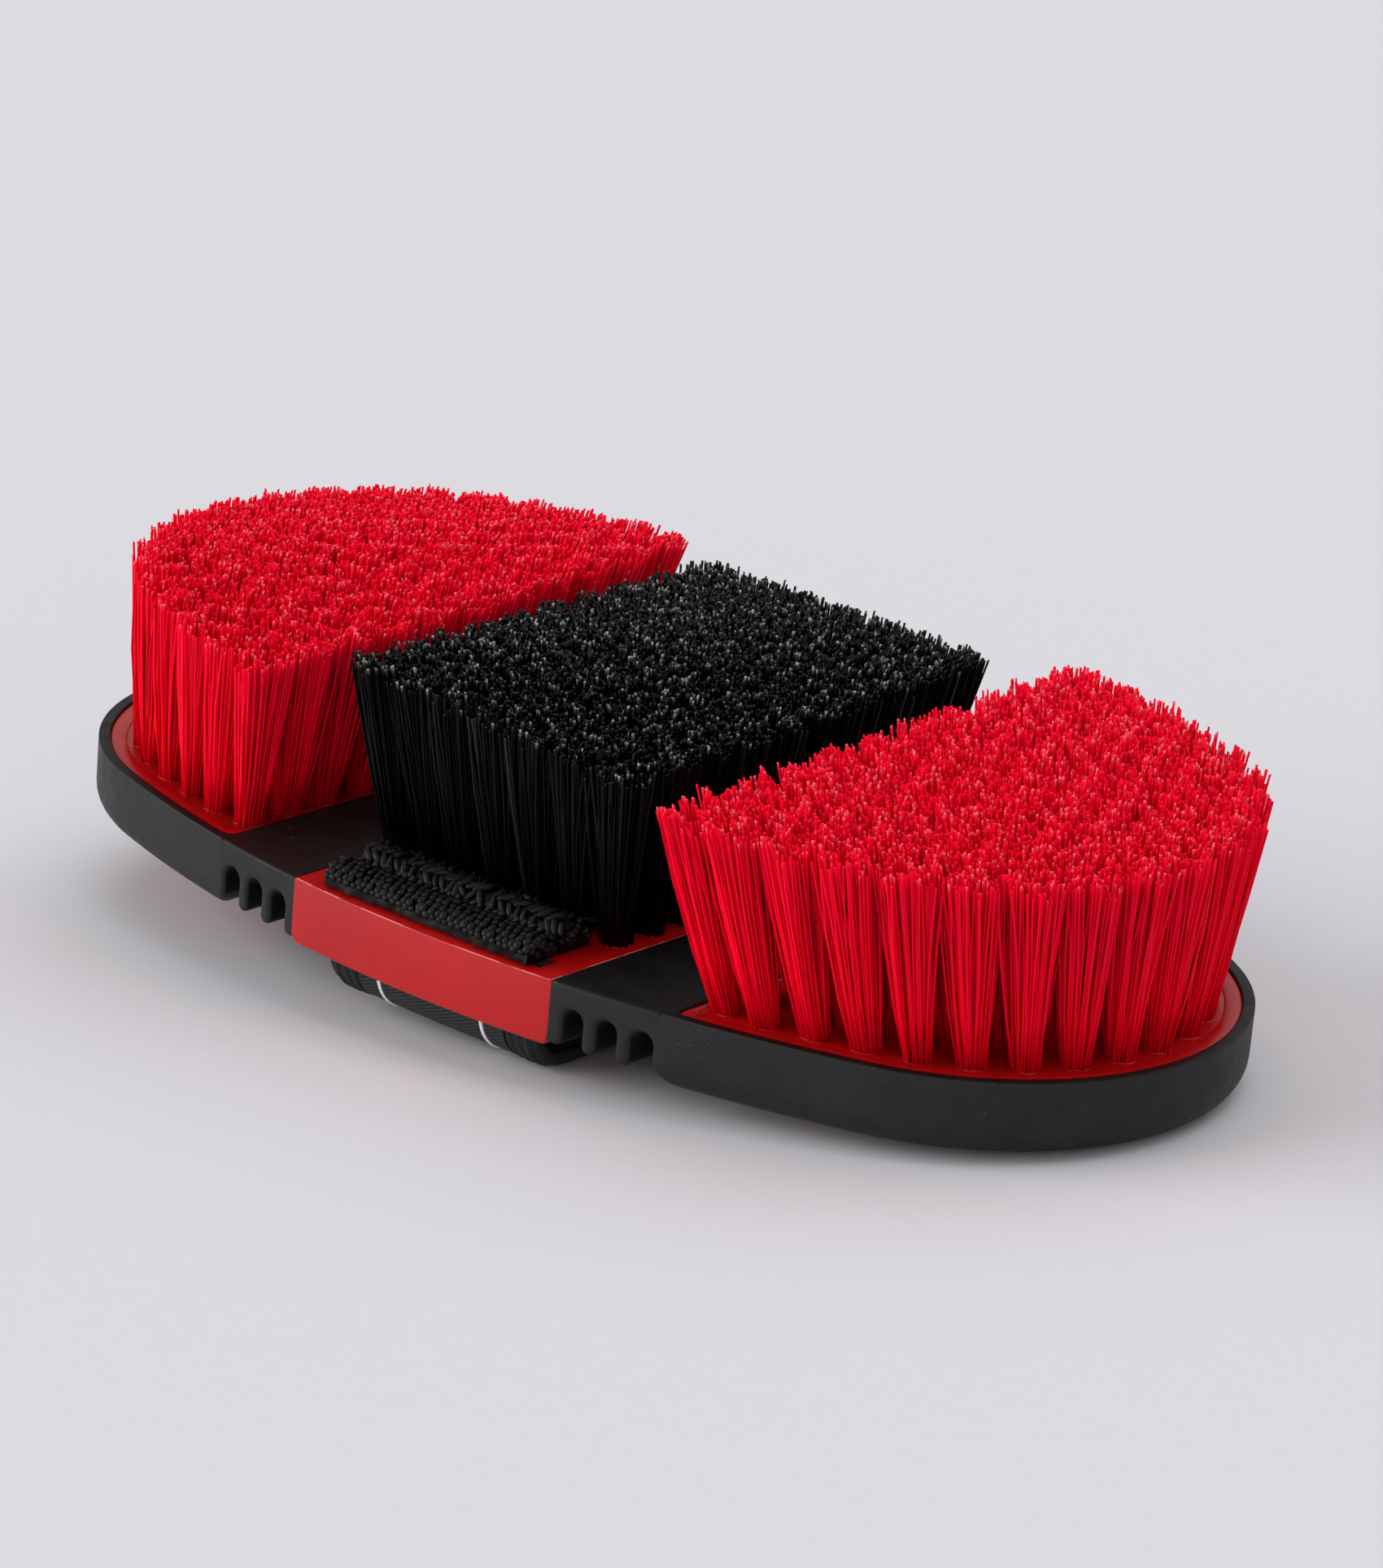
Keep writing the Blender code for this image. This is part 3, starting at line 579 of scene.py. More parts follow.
def hingeProfile():
    # (x, z) points counter-clockwise, each with the radius of its round at the side walls
    s = flexHinge
    bottom, grooveTop, tuck = hingeLow.z, topZ - s["web"], s["edgeRound"]
    blockX, postX = blockHigh.x, rimLow.x + rim["post"]
    postZ = rimLow.z + rim["bottomRound"] - s["postLow"]
    x = hingeLow.x + s["land"]
    points = [(blockX - tuck, bottom + s["drop"]), (blockX + s["heel"], bottom)]
    landMiddle = (x - s["landRound"], bottom + s["landRound"])
    points += list(onArc(np.radians(np.linspace(-80, 0, 7)), s["landRound"], landMiddle))
    for groove in range(s["grooves"]):
        last = groove == s["grooves"] - 1
        radius = (s["grooveWidth"] + (s["seam"] if last else 0)) / 2
        springZ = grooveTop - radius
        points += [(x, z) for z in np.linspace(bottom + s["footRise"], springZ, 4)[:-1]]
        points += list(onArc(np.radians(np.linspace(180, 0, s["arcSteps"])), radius, (x + radius, springZ)))
        x += 2 * radius
        if not last:
            nose = (x + s["finWidth"] / 2, bottom + s["finWidth"] / 2)
            points += [(x, z) for z in np.linspace(springZ, nose[1], 4)[1:-1]]
            points += list(onArc(np.radians(np.linspace(180, 360, s["arcSteps"])), s["finWidth"] / 2, nose))
            x += s["finWidth"]
    points += [(x, z) for z in np.linspace(springZ, postZ, 5)[1:]]
    rounds = [tuck] + [s["finRound"]] * (len(points) - 1)
    lowZ, nickZ, hair = topZ - s["drop"], topZ - s["drop"] * s["nickShare"], s["hair"]
    back = [(postX + tuck, postZ), (postX + tuck, lowZ), (postX + s["nick"], nickZ)]
    back += [(a, topZ) for a in np.linspace(postX + hair, blockX + hair, s["topSteps"])]
    back += [(blockX - hair, nickZ), (blockX - tuck, lowZ)]
    return np.array(points + back), np.array(rounds + [tuck] * len(back))


def inwardNormals(points):
    # of a counter-clockwise outline
    before = points - np.roll(points, 1, 0)
    after = np.roll(points, -1, 0) - points
    turned = [np.column_stack([-way[:, 1], way[:, 0]]) / np.linalg.norm(way, axis=1)[:, None]
              for way in (before, after)]
    middle = turned[0] + turned[1]
    middle /= np.maximum(np.linalg.norm(middle, axis=1), 1e-9)[:, None]
    return middle / np.clip((middle * turned[0]).sum(1), 0.5, 1)[:, None]


def buildFlexHinge(side, word):
    points, rounds = hingeProfile()
    normals = inwardNormals(points)
    rings = []
    for turn in np.radians(np.linspace(90, 0, flexHinge["roundSteps"])):
        moved = points + normals * (rounds * (1 - math.cos(turn)))[:, None]
        wide = halfWidthAt(moved[:, 0]) - rounds * (1 - math.sin(turn))
        rings.append(np.column_stack([side * moved[:, 0], -wide, moved[:, 1]]))
    rings += [ring * (1, -1, 1) for ring in rings[::-1]]
    piece = makePiece(word + "_rubber_hinge", *loftRings(rings, True, True), blackRubber, 50)
    markLitWalls(piece, topZ - flexHinge["edgeRound"], flexHinge["finRound"] / 2)
    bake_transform(piece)
    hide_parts(word + "_flex_hinge")


# Red end plates: a low border round the tufted face
endPlate = {
    "seam": 0.05 * mm, "edge": 0.25 * mm, "corner": 1.6 * mm, "border": 2.4 * mm,
    "step": 0.12 * mm, "lip": 0.08 * mm, "bossGap": 0.3 * mm, "edgeWearAndHighlight": 0.6, "wearReach": 0.02 * mm,
}


def buildEndPlate(side, word):
    s = endPlate
    top = plateHigh.z
    inset, innerX = rim["width"] + s["seam"], rimLow.x + rim["land"] + s["seam"]

    def level(more, z, moreInside=None):
        return endLoop(innerX + (more if moreInside is None else moreInside), inset + more, s["corner"]), z

    bossMore = rim["lipWidth"] + s["bossGap"]
    boss = endLoop(rimLow.x + bossMore, bossMore, s["corner"])
    ledge = rimLow.z + rim["lipThickness"] + s["bossGap"]
    levels = [(boss, plateLow.z), (boss, ledge), level(0, ledge)]
    for turn in np.radians(np.linspace(0, 90, 4)):
        levels.append(level(s["edge"] * (1 - math.cos(turn)), top - s["edge"] * (1 - math.sin(turn))))
    inside = tufts["innerBorder"]
    levels += [level(s["border"] - s["step"], top, inside - s["step"]),
               level(s["border"], top - s["lip"], inside),
               level(s["border"] + s["step"], top - tufts["sliceSink"], inside + s["step"])]
    rings = [atHeight(loop, z, side) for loop, z in levels]
    piece = makePiece(word + "_end_plate", *loftRings(rings, True, True), redPlastic, 50)
    at = np.array([v.co for v in piece.data.vertices])
    onLip = np.abs(at[:, 2] - (top - s["lip"])) < s["wearReach"]
    pointValues(piece, "edgeWearAndHighlight", s["edgeWearAndHighlight"] * onLip)
    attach(piece, word + "_end")
    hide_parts(word + "_end_block")
    burrs = tuftCollars(endPlaces, top - tufts["sliceSink"], side)
    collars = makePiece(word + "_tuft_holes", *burrs, redPlastic)
    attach(collars, word + "_end")


for side, word in ends:
    buildRim(side, word)
    buildFlexHinge(side, word)
    buildEndPlate(side, word)
print("rims, flex hinges and end plates made")

# Bristles: fine strands in cone-shaped tufts that meet near the top, trimmed nearly level
bristles = {
    "spacing": 0.70 * mm, "radius": 0.22 * mm, "reach": 4.5 * mm, "sink": 0.6 * mm,
    "rootJitter": 0.08 * mm, "bow": 0.28 * mm, "ease": 0.12, "extra": 1.0 * mm, "slant": 0.09 * mm,
    "strays": 0.04, "strayReach": 1.1 * mm, "tipLimit": 5.0 * mm, "levels": (0, 0.3, 0.65, 0.965, 0.988, 1.0),
    "inward": 6.0 * mm, "outward": {-1: -3.4 * mm, 1: 0.9 * mm}, "side": 5.2 * mm,
    "centreX": {-1: 3.4 * mm, 1: 2.8 * mm}, "centreY": 4.3 * mm, "rearLean": 1.6 * mm, "litTone": 8,
    "scatter": 0.42, "edgeShare": (0.92, 1.05), "girth": (0.8, 1.15), "strayRise": (-1.0 * mm, 0.6 * mm),
    "trimBias": 1.6, "paleLumps": (1.25, 0.5), "paleSpan": 0.3, "belowCut": 0.35,
    "waves": 9, "waveLength": (2.5 * mm, 8 * mm), "waveDepth": 1.2,
}
# the trim is not quite level: it rises to the rear, and from one side of each block to the other
trimPlane = {
    "slope": 0.034, "left": (-0.3 * mm, 3.0 * mm), "right": (0.2 * mm, -1.3 * mm),
    "centre": (2.0 * mm, -0.9 * mm), "limit": 1.05 * mm, "spread": 0.45 * mm,
}
redTrim = {
    "rootRadius": 2.0 * mm, "gather": 0.94, "tipJitter": 0.5 * mm, "uneven": 1.3 * mm, "clump": 2.1 * mm,
    "tone": 0.05, "lit": 0.0, "pale": 0.72,
}
blackTrim = {
    "rootRadius": 2.2 * mm, "gather": 0.95, "tipJitter": 0.7 * mm, "uneven": 1.0 * mm, "clump": 1.9 * mm,
    "tone": 0.10, "lit": 0.06, "pale": 0.80,
}


def sideLean(share, lean):
    # the rear tufts splay a little more than the front ones
    return lean * share + bristles["rearLean"] * np.maximum(share, 0)


def endTips(side):
    # share is 0 at the tufts beside the hinge and 1 at those by the tip of the brush
    s = bristles
    share = (endPlaces[:, 0] - outerTuftX) / (halfLength - tufts["outerInset"] - outerTuftX)
    lean = np.column_stack([-s["inward"] * (1 - share) + s["outward"][side] * share,
                            sideLean(endPlaces[:, 1] / endPlaces[:, 1].max(), s["side"])])
    return endPlaces + lean


def centreTips():
    share = centrePlaces / tufts["centreReach"]
    leanX = np.where(share[:, 0] < 0, bristles["centreX"][-1], bristles["centreX"][1])
    return centrePlaces + np.column_stack([leanX * share[:, 0], sideLean(share[:, 1], bristles["centreY"])])


def insideOf(points, corners):
    # even-odd test against a closed outline
    inside = np.zeros(len(points), bool)
    for (ax, ay), (bx, by) in zip(corners, np.roll(corners, -1, 0)):
        if ay != by:
            crosses = (ay > points[:, 1]) != (by > points[:, 1])
            inside ^= crosses & (points[:, 0] < ax + (points[:, 1] - ay) * (bx - ax) / (by - ay))
    return inside


def fillTips(centres, border):
    # an even scatter of cut ends over the area that the tufts spread to, and each one's tuft
    step, reach, scatter = (bristles[key] for key in ("spacing", "reach", "scatter"))
    low, high = centres.min(0) - reach, centres.max(0) + reach
    x, y = np.meshgrid(np.arange(low[0], high[0], step), np.arange(low[1], high[1], step * 0.866))
    x[1::2] += step / 2
    tips = np.column_stack([x.ravel(), y.ravel()]) + rng.uniform(-scatter, scatter, (x.size, 2)) * step
    gaps = np.linalg.norm(tips[:, None] - centres[None], axis=2)
    kept = (gaps.min(1) < reach * rng.uniform(*bristles["edgeShare"], len(tips))) | insideOf(tips, border)
    return tips[kept], gaps.argmin(1)[kept]


def ripple(places):
    # a smooth uneven value over the tips, about 0 to 1
    s = bristles
    waves = rng.normal(0, 1, (s["waves"], 2))
    lengths = rng.uniform(*s["waveLength"], s["waves"])
    waves *= (2 * math.pi / lengths / np.linalg.norm(waves, axis=1))[:, None]
    starts = rng.uniform(0, 6.28, s["waves"])
    return np.clip(0.5 + np.sin(places @ waves.T + starts).mean(1) * s["waveDepth"], 0, 1)


def growBristles(name, places, centres, border, rootZ, tipZ, side, material, trim, rise):
    s = bristles
    tips, owner = fillTips(centres, border)
    count = len(tips)
    offset = (tips - centres[owner]) * (trim["rootRadius"] / s["reach"])
    far = np.linalg.norm(offset, axis=1)[:, None]
    offset *= np.minimum(1, trim["rootRadius"] / np.maximum(far, 1e-9))
    roots = places[owner] + offset + rng.normal(0, s["rootJitter"], (count, 2))
    tips = centres[owner] + (tips - centres[owner]) * trim["gather"]        # a narrow gap between tufts
    stray = (rng.random(count) < s["strays"])[:, None]
    tips = tips + rng.normal(0, 1, (count, 2)) * np.where(stray, s["strayReach"], trim["tipJitter"])
    tips = np.clip(tips, centres.min(0) - s["tipLimit"], centres.max(0) + s["tipLimit"])
    lumps = ripple(tips)
    tops = tipZ + s["extra"] - trim["uneven"] * rng.random(count) ** s["trimBias"] - trim["clump"] * lumps
    across = (tips[:, 0] - centres[:, 0].min()) / np.ptp(centres[:, 0])
    tops += trimPlane["slope"] * tips[:, 1] + np.interp(across, (0, 1), rise)
    tops += stray[:, 0] * rng.uniform(*s["strayRise"], count)
    tops = np.minimum(tops, cadHigh.z + trimPlane["limit"] - trimPlane["spread"] * rng.random(count))

    shares = np.array(s["levels"])
    levels = len(shares)
    t = shares[None, :, None]
    eased = t + s["ease"] * t * (1 - t)
    bow = rng.normal(0, s["bow"], (count, 1, 2)) * 4 * t * (1 - t)
    line = roots[:, None] * (1 - eased) + tips[:, None] * eased + bow
    z = (rootZ - s["sink"]) * (1 - t[..., 0]) + tops[:, None] * t[..., 0]
    radius = s["radius"] * rng.uniform(*s["girth"], count)
    facing = rng.uniform(0, 6.28, count)[:, None] + np.arange(3) * 2 * math.pi / 3
    points = np.empty((count, levels, 3, 3))
    points[..., 0] = side * (line[..., 0, None] + (radius[:, None] * np.cos(facing))[:, None])
    points[..., 1] = line[..., 1, None] + (radius[:, None] * np.sin(facing))[:, None]
    points[..., 2] = z[..., None]
    points[:, -1, :, 2] += rng.normal(0, s["slant"], (count, 3))
    first = np.arange(count)[:, None] * levels * 3
    quads = np.concatenate([
        first + (level * 3 + np.array([a, (a + 1) % 3, 3 + (a + 1) % 3, 3 + a]))
        for level in range(levels - 1) for a in range(3)])
    caps = np.concatenate([first + np.array([2, 1, 0]), first + (levels - 1) * 3 + np.array([0, 1, 2])])
    if side < 0:
        quads, caps = quads[:, ::-1], caps[:, ::-1]
    piece = makePiece(name, points.reshape(-1, 3), quads.tolist() + caps.tolist(), material, 0, False)
    smooth = np.arange(len(quads) + len(caps)) < len(quads)
    piece.data.polygons.foreach_set("use_smooth", smooth)

    full = (count, levels, 3)
    tone = 1 - np.abs(rng.normal(0, trim["tone"], count))
    # painted highlight: a few black strands are painted many times brighter, as lit streaks
    tone += s["litTone"] * (rng.random(count) < trim["lit"])
    # pale cut ends, more of them on the raised clumps of the trim: partly the cut fibre's own colour, partly
    # painted highlight
    most, less = s["paleLumps"]
    pale = np.clip((rng.random(count) * (most - less * lumps) - trim["pale"]) / s["paleSpan"], 0, 1)
    cut = np.zeros(full)
    cut[:, -1] = pale[:, None]
    cut[:, -2] = s["belowCut"] * pale[:, None]
    pointValues(piece, "tone", np.broadcast_to(tone[:, None, None], full).ravel())
    pointValues(piece, "cut", cut.ravel())
    pointValues(piece, "along", np.broadcast_to(shares[:, None], full).ravel())
    return piece


def buildBristles():
    centres = centreTips()
    (lowX, lowY), (highX, highY) = centres.min(0), centres.max(0)
    border = np.array([(lowX, lowY), (highX, lowY), (highX, highY), (lowX, highY)])
    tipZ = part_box("centre_bristles")[1].z
    piece = growBristles("centre_black_bristles", centrePlaces, centres, border, topZ, tipZ, 1,
                         blackFilament, blackTrim, trimPlane["centre"])
    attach(piece, "centre")
    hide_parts("centre_bristles")
    for side, word in ends:
        centres = endTips(side)
        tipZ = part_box(word + "_bristles")[1].z
        piece = growBristles(word + "_red_bristles", endPlaces, centres, centres[:firstRing],
                             plateHigh.z - tufts["sliceSink"], tipZ, side, redFilament, redTrim,
                             trimPlane[word])
        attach(piece, word + "_end")
        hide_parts(word + "_bristles")


buildBristles()
print("bristles grown")

# Hand strap: down from one slot, flat on the floor, up into the other
strap = {
    "thickness": 3.0 * mm, "bendRadius": 5.6 * mm, "bandHalf": 14.2 * mm, "bandThickness": 2.0 * mm,
    "bandSink": 0.25 * mm, "crown": 0.12 * mm, "pipingX": 10.0 * mm, "pipingRadius": 0.4 * mm,
    "bindingWidth": 7.0 * mm, "ribPitch": 1.75 * mm, "ribDepth": 0.16, "knitPitch": 1.2 * mm,
    "knitDepth": 0.05, "squareness": 0.7, "tones": (0.5, 0.3, 0.2),
    "run": 0.4 * mm, "dropSteps": 24, "bandSteps": 24, "rollSides": 96, "pipingSides": 16,
}
slotMidY = bindingHigh.y - strap["thickness"] / 2


def strapCourse():
    # middle line of the strap in (y, z), its outward direction and the distance along it
    s = strap
    bendZ = s["thickness"] / 2 + s["bendRadius"]
    bendY = slotMidY - s["bendRadius"]
    dropZ = np.linspace(topZ, bendZ, s["dropSteps"], endpoint=False)
    drop = np.column_stack([np.full(len(dropZ), -slotMidY), dropZ])
    bendSteps = int(s["bendRadius"] * math.pi / 2 / s["run"])
    bend = onArc(np.linspace(math.pi, 1.5 * math.pi, bendSteps), s["bendRadius"], (-bendY, bendZ))
    flatSteps = int(bendY / s["run"])
    flatY = np.linspace(-bendY, 0, flatSteps)[1:]
    flat = np.column_stack([flatY, np.full(len(flatY), s["thickness"] / 2)])
    half = np.concatenate([drop, bend, flat])
    line = np.concatenate([half, half[-2::-1] * (-1, 1)])
    ahead = np.gradient(line, axis=0)
    ahead /= np.linalg.norm(ahead, axis=1)[:, None]
    outward = np.column_stack([ahead[:, 1], -ahead[:, 0]])
    walked = np.concatenate([[0], np.cumsum(np.linalg.norm(np.diff(line, axis=0), axis=1))])
    return line, outward, walked


def strapSweep(name, section, material):
    # section(run) gives the (across, out) points of the cross-section at each place along the strap
    line, outward, walked = strapCourse()
    rings, runs = [], []
    for (y, z), (outY, outZ), run in zip(line, outward, walked):
        across, out = section(run)
        rings.append(np.column_stack([across, y + outY * out, z + outZ * out]))
        runs.append(np.column_stack([across, np.full(len(across), run)]) / mm)
    piece = makePiece(name, *loftRings(rings, True, True), material, 50)
    runs = np.concatenate(runs)
    layer = piece.data.uv_layers.new(name="strapRun")
    corner = np.zeros(len(piece.data.loops), int)
    piece.data.loops.foreach_get("vertex_index", corner)
    layer.data.foreach_set("uv", runs[corner].ravel())
    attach(piece, "centre")
    return piece


def buildStrap():
    s = strap
    halfThick = s["thickness"] / 2
    around = np.linspace(0, 2 * math.pi, s["rollSides"], endpoint=False)
    aroundPiping = around[::s["rollSides"] // s["pipingSides"]]

    def bandSection(run):
        x = np.linspace(-s["bandHalf"], s["bandHalf"], s["bandSteps"])
        crown = s["crown"] * (1 - (x / s["bandHalf"]) ** 2)
        out = np.concatenate([halfThick - s["bandSink"] + crown, halfThick - s["bandThickness"] - crown])
        return np.concatenate([x, x[::-1]]), out

    band = strapSweep("hand_strap_band", bandSection, blackTwill)
    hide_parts("hand_strap")

    for side, word in ends:
        def pipingSection(run):
            middle = (side * s["pipingX"], halfThick - s["pipingRadius"])
            ring = onArc(aroundPiping, s["pipingRadius"], middle)
            return ring[:, 0], ring[:, 1]

        piping = strapSweep("strap_piping_" + word + "_cord", pipingSection, whitePiping)
        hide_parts("strap_piping_" + word)

        middle = side * (bindingHigh.x - s["bindingWidth"] / 2)
        wide = s["bindingWidth"] / 2 * np.sign(np.cos(around)) * np.abs(np.cos(around)) ** s["squareness"]
        high = halfThick * np.sign(np.sin(around)) * np.abs(np.sin(around)) ** s["squareness"]
        rib = np.cos(2 * math.pi * wide / s["ribPitch"])
        row = np.round(wide / s["ribPitch"])

        def knitAt(run):
            return np.cos(2 * math.pi * run / s["knitPitch"] + math.pi * row)

        def bindingSection(run):
            grow = 1 - s["ribDepth"] * (1 - rib) / 2 - s["knitDepth"] * (1 - knitAt(run)) / 2
            return middle + wide, high * grow

        binding = strapSweep("strap_binding_" + word + "_roll", bindingSection, blackBinding)
        # painted shade in the hollows between the binding's ribs and knit rows, lighter painted crowns
        plain, onRib, onKnit = s["tones"]
        crowns = [plain + onRib * rib + onKnit * knitAt(run) for run in strapCourse()[2]]
        pointValues(binding, "hollow", np.clip(np.concatenate(crowns), 0, 1))
        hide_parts("strap_binding_" + word)


buildStrap()
print("strap made")

# Folded strap ends on top of the block: two ridges of coarse yarn loops
# rows: angle round the ridge, the loop's half sizes across, along and out of the ridge, its slant and pitch
strapStop = {
    "length": 41 * mm, "setback": 1.6 * mm, "frontWidth": 7.0 * mm, "frontHeight": 3.4 * mm,
    "rearWidth": 7.4 * mm, "rearHeight": 4.5 * mm, "grooveHeight": 1.5 * mm, "coreShrink": 0.6 * mm,
    "coreInset": 0.9 * mm, "coreSteps": 60, "coreArch": 15, "coreWave": 0.12 * mm, "coreTone": 0.25,
    "sink": 0.55, "loopSides": 12, "loopRings": 9, "loopTip": 0.12, "loopFat": 0.8,
    "loopSize": (0.82, 1.14), "loopTone": (0.5, 1.1), "endLoops": 16, "endLoop": (0.85, 0.6, 0.5),
    "endArc": (8, 172), "endShare": (0.35, 0.95), "endInset": (0.5, 1.0), "endSize": (0.8, 1.1),
    "frontLoose": (0.10 * mm, 7, 0.06 * mm, 0.0), "rearLoose": (0.18 * mm, 16, 0.14 * mm, 0.07),
    "frontRows": ((172, 0.50, 0.66, 0.40, 6, 1.30), (150, 0.70, 0.66, 0.55, -8, 1.30),
                  (124, 0.80, 0.68, 0.66, 8, 1.35), (96, 0.80, 0.64, 0.55, -12, 1.35),
                  (66, 0.80, 0.64, 0.50, 14, 1.35), (36, 0.75, 0.62, 0.45, -14, 1.35)),
    "rearRows": ((166, 1.10, 0.60, 0.45, 28, 1.45), (138, 1.50, 0.58, 0.60, -32, 1.45),
                 (104, 1.60, 0.60, 0.70, 30, 1.55), (68, 1.40, 0.60, 0.60, -30, 1.50),
                 (30, 1.10, 0.60, 0.50, 24, 1.50)),
    "frays": 70, "frayLength": 2.4 * mm, "frayRadius": 0.06 * mm, "frayArc": (40, 140),
    "frayShare": (0.3, 0.8), "fraySway": 0.1, "frayDroop": 0.5, "fraySteps": 5,
}


def loopShape():
    # one fat yarn loop of unit half sizes
    s = strapStop
    turn = np.linspace(0, 2 * math.pi, s["loopSides"], endpoint=False)
    rings = []
    for a in np.linspace(s["loopTip"], math.pi - s["loopTip"], s["loopRings"]):
        flat = math.sin(a) ** s["loopFat"]
        level = np.full(len(turn), math.cos(a))
        rings.append(np.column_stack([level, flat * np.cos(turn), flat * np.sin(turn)]))
    return loftRings(rings, True, True)


def frayShape(start, aim, length):
    # one loose fibre that bends over
    s = strapStop
    turn = np.arange(3) * 2 * math.pi / 3
    side = np.cross(aim, (0, 0, 1))
    side /= max(np.linalg.norm(side), 1e-6)
    over = np.cross(side, aim)
    rings = []
    for t in np.linspace(0, 1, s["fraySteps"]):
        sway = side * rng.normal(0, s["fraySway"]) - np.array((0, 0, s["frayDroop"]))
        middle = start + aim * length * t + sway * length * t * t
        ring = side * np.cos(turn)[:, None] + over * np.sin(turn)[:, None]
        rings.append(middle + ring * s["frayRadius"] * (1 - 0.5 * t))
    return loftRings(rings, True, True)


def buildStrapStop(side, name, node):
    s = strapStop
    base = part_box(node)[0].z
    edge = -halfWidth + s["setback"]
    half = s["length"] / 2
    ridges = (
        (edge + s["frontWidth"] / 2, s["frontWidth"] / 2, s["frontHeight"] - s["grooveHeight"],
         s["frontRows"], s["frontLoose"]),
        (edge + s["frontWidth"] + s["rearWidth"] / 2, s["rearWidth"] / 2, s["rearHeight"] - s["grooveHeight"],
         s["rearRows"], s["rearLoose"]),
    )
    shapes, crowns = [], []
    loop, loopFaces = loopShape()
    axis = np.array((1.0, 0, 0))
    for middleY, reach, rise, rows, (loosePlace, looseLean, looseOut, missing) in ridges:
        arch = np.radians(np.linspace(180, 0, s["coreArch"]))
        core = np.column_stack([middleY + (reach - s["coreShrink"]) * np.cos(arch),
                                base + s["grooveHeight"] + (rise - s["coreShrink"]) * np.sin(arch)])
        core = np.concatenate([[[core[0, 0], base]], core, [[core[-1, 0], base]]])
        stations = np.linspace(-half + s["coreInset"], half - s["coreInset"], s["coreSteps"])
        waves = rng.normal(0, s["coreWave"], (len(stations), len(core), 2))
        waves[:, (0, -1), 1] = 0
        rings = [np.column_stack([np.full(len(core), x), core + wave]) for x, wave in zip(stations, waves)]
        shapes.append(loftRings(rings, True, True))
        # painted shade: the core between the loops is coloured dark
        crowns.append(np.full(len(core) * len(stations), s["coreTone"]))
        for row, (degrees, across, along, out, slant, pitch) in enumerate(rows):
            angle = math.radians(degrees)
            tangent = np.array([0, -reach * math.sin(angle), rise * math.cos(angle)])
            tangent /= np.linalg.norm(tangent)
            outward = np.cross(axis, tangent)
            outward *= np.sign(outward @ (0, math.cos(angle), math.sin(angle)))
            count = int((s["length"] - 2 * along * mm) / (pitch * mm))
            for k in range(count):
                x = (k - (count - 1) / 2 + 0.5 * (row % 2) - 0.25) * pitch * mm + rng.normal(0, loosePlace)
                lean = math.radians(slant + rng.normal(0, looseLean))
                if rng.random() < missing:
                    continue
                alongWay = axis * math.cos(lean) + tangent * math.sin(lean)
                acrossWay = tangent * math.cos(lean) - axis * math.sin(lean)
                size = rng.uniform(*s["loopSize"]) * mm
                inside = out * s["sink"] * mm
                at = np.array([x, middleY + (reach - inside) * math.cos(angle),
                               base + s["grooveHeight"] + (rise - inside) * math.sin(angle)])
                at = at + outward * rng.normal(0, looseOut)
                spun = at + size * (loop[:, :1] * acrossWay * across + loop[:, 1:2] * alongWay * along
                                    + loop[:, 2:] * outward * out)
                spun[:, 2] = np.maximum(spun[:, 2], base)
                shapes.append((spun, loopFaces))
                # painted light: each loop is lighter on its outward side and fades to the dark gap colour
                # where it sinks into the ridge
                crowns.append(np.clip(loop[:, 2] * rng.uniform(*s["loopTone"]) + 0.05, 0, 1))
        for k in range(2 * s["endLoops"]):
            # ragged yarn over the cut ends
            angle = math.radians(rng.uniform(*s["endArc"]))
            share = rng.uniform(*s["endShare"])
            at = np.array([(1 if k % 2 else -1) * (half - rng.uniform(*s["endInset"]) * mm),
                           middleY + reach * share * math.cos(angle),
                           base + (s["grooveHeight"] + rise * math.sin(angle)) * share])
            turned, _ = np.linalg.qr(rng.normal(0, 1, (3, 3)))
            shapes.append((at + (loop * s["endLoop"]) @ turned * rng.uniform(*s["endSize"]) * mm, loopFaces))
            # painted light: each end loop is lighter on its broad faces, darker round its edge
            crowns.append(np.clip(np.abs(loop[:, 2]) * 0.8 + 0.1, 0, 1))
    rearY, rearReach, rearRise = ridges[1][:3]
    for k in range(s["frays"]):
        atEnd = k % 3 == 0
        x = rng.choice((-1, 1)) * half * 0.98 if atEnd else rng.uniform(-half, half)
        angle = math.radians(rng.uniform(*s["frayArc"]))
        start = np.array([x, rearY + rearReach * math.cos(angle),
                          base + s["grooveHeight"] + rearRise * math.sin(angle)])
        aim = np.array([np.sign(x) * 0.8 if atEnd else rng.normal(0, 0.6), math.cos(angle), math.sin(angle)])
        length = s["frayLength"] * rng.uniform(*s["frayShare"])
        shapes.append(frayShape(start, aim / np.linalg.norm(aim), length))
        crowns.append(np.full(len(shapes[-1][0]), 1.0))
    points, faces = joinShapes(shapes)
    points[:, 1] *= -side
    points[:, 2] = np.maximum(points[:, 2], base)
    piece = makePiece(name, points, faces, blackKnit, 60)
    pointValues(piece, "hollow", np.concatenate(crowns))
    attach(piece, "centre")
    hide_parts(node)


buildStrapStop(-1, "front_strap_fold", "front_strap_stop")
buildStrapStop(1, "rear_strap_fold", "rear_strap_stop")
print("strap folds made")

# Studio: pale floor, soft light from the left and above
studio = {
    "floorColour": (0.655, 0.648, 0.678), "floorShade": 0.985, "floorHalf": 20.0, "floorTilt": 4.2,
    "worldColour": (0.97, 0.985, 1.0), "worldStrength": 0.43,
    "lamps": {"softTop": (1.25, (-0.05, 0.42, 1.0), 70), "softLeft": (2.3, (-0.85, -0.8, 0.36), 50),
              "softFront": (0.7, (0.65, -0.75, 0.3), 60)},
}


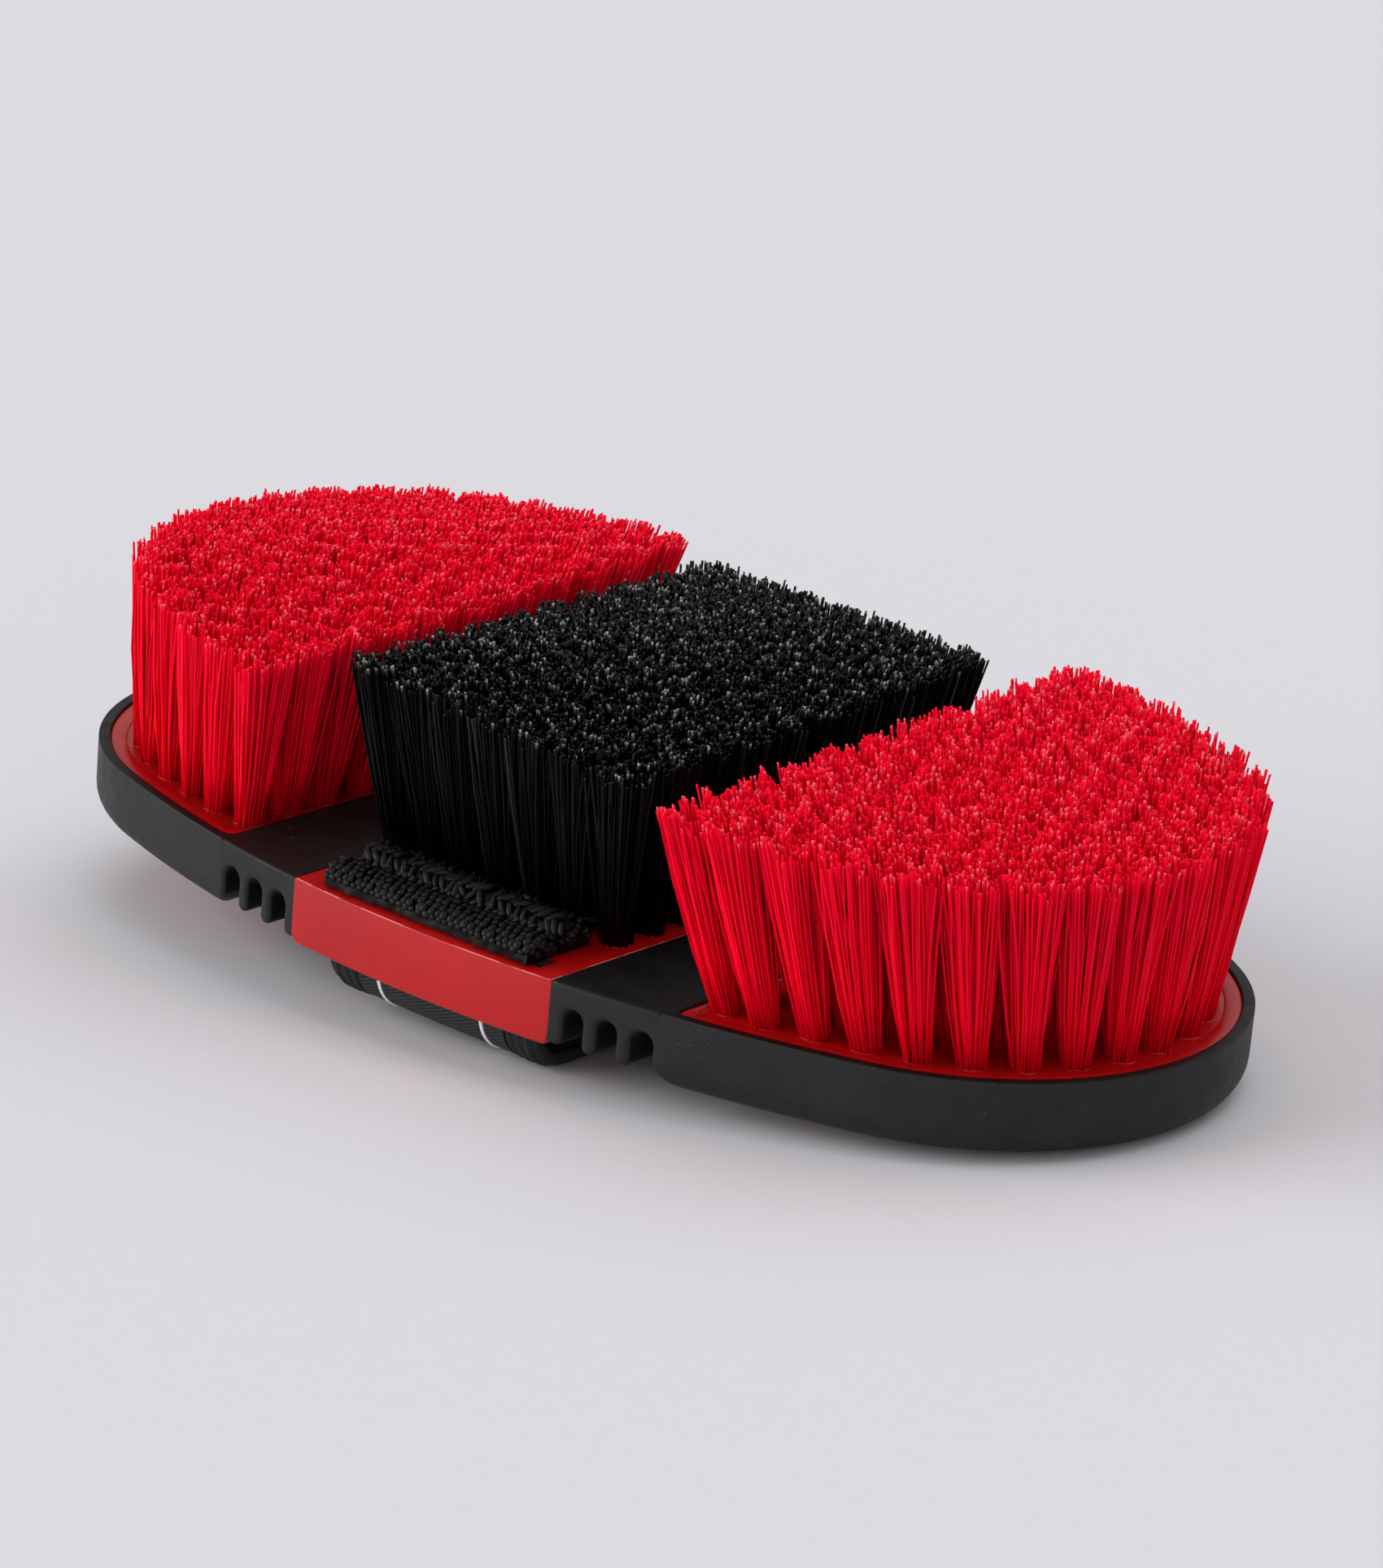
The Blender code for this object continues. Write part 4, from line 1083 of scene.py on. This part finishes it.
def buildStudio():
    s = studio
    h = s["floorHalf"]
    floorFinish, shader = newMaterial("paleFloor", 0.0, Roughness=0.9)
    paper = rampOf(floorFinish, noiseOf(floorFinish, inPlace(floorFinish), 500, 4),
                   [(0.3, tuple(s["floorShade"] * c for c in s["floorColour"])), (0.7, s["floorColour"])])
    wire(floorFinish, paper, shader, "Base Color")
    # the brush leans on the right edge of its strap, so the floor rises to the right from there
    slope = math.tan(math.radians(s["floorTilt"]))
    corners = [(x, y, (x - bindingHigh.x) * slope) for x, y in ((-h, -h), (h, -h), (h, h), (-h, h))]
    makePiece("studio_floor", corners, [(0, 1, 2, 3)], floorFinish, 0)
    world = bpy.data.worlds.new("softRoom")
    bpy.context.scene.world = world
    world.use_nodes = True
    back = world.node_tree.nodes["Background"]
    back.inputs["Color"].default_value = (*s["worldColour"], 1)
    back.inputs["Strength"].default_value = s["worldStrength"]
    for name, (strength, comesFrom, spread) in s["lamps"].items():
        lamp = bpy.data.lights.new(name, "SUN")
        lamp.energy = strength
        lamp.angle = math.radians(spread)
        key = inScene(name, lamp)
        key.rotation_mode = "QUATERNION"
        key.rotation_quaternion = Vector(comesFrom).to_track_quat("Z", "Y")
    bpy.context.scene.view_settings.view_transform = "Standard"


# Camera at the photograph's angle; the picture is 1700 by 1928
camera = {
    "azimuth": 39.05, "elevation": 19.27, "roll": 5.12, "distance": 844.1 * mm,
    "right": -5.49 * mm, "up": -10.30 * mm, "focalPixels": 7000, "pictureHeight": 1928, "sensor": 36.0,
}


def buildCamera():
    s = camera
    turn, rise, roll = (math.radians(s[key]) for key in ("azimuth", "elevation", "roll"))
    back = Vector((math.sin(turn) * math.cos(rise), -math.cos(turn) * math.cos(rise), math.sin(rise)))
    level = Vector((math.cos(turn), math.sin(turn), 0))
    upright = back.cross(level)
    right = level * math.cos(roll) + upright * math.sin(roll)
    up = -level * math.sin(roll) + upright * math.cos(roll)
    data = bpy.data.cameras.new("photoCamera")
    data.sensor_width = s["sensor"]
    data.lens = s["focalPixels"] * s["sensor"] / s["pictureHeight"]
    data.clip_start = 0.01
    data.clip_end = 100
    item = inScene("photoCamera", data)
    place = back * s["distance"] - right * s["right"] - up * s["up"] + Vector((0, 0, topZ))
    item.matrix_world = Matrix.Translation(place) @ Matrix((right, up, back)).transposed().to_4x4()
    bpy.context.scene.camera = item


buildStudio()
buildCamera()
print("studio and camera set")
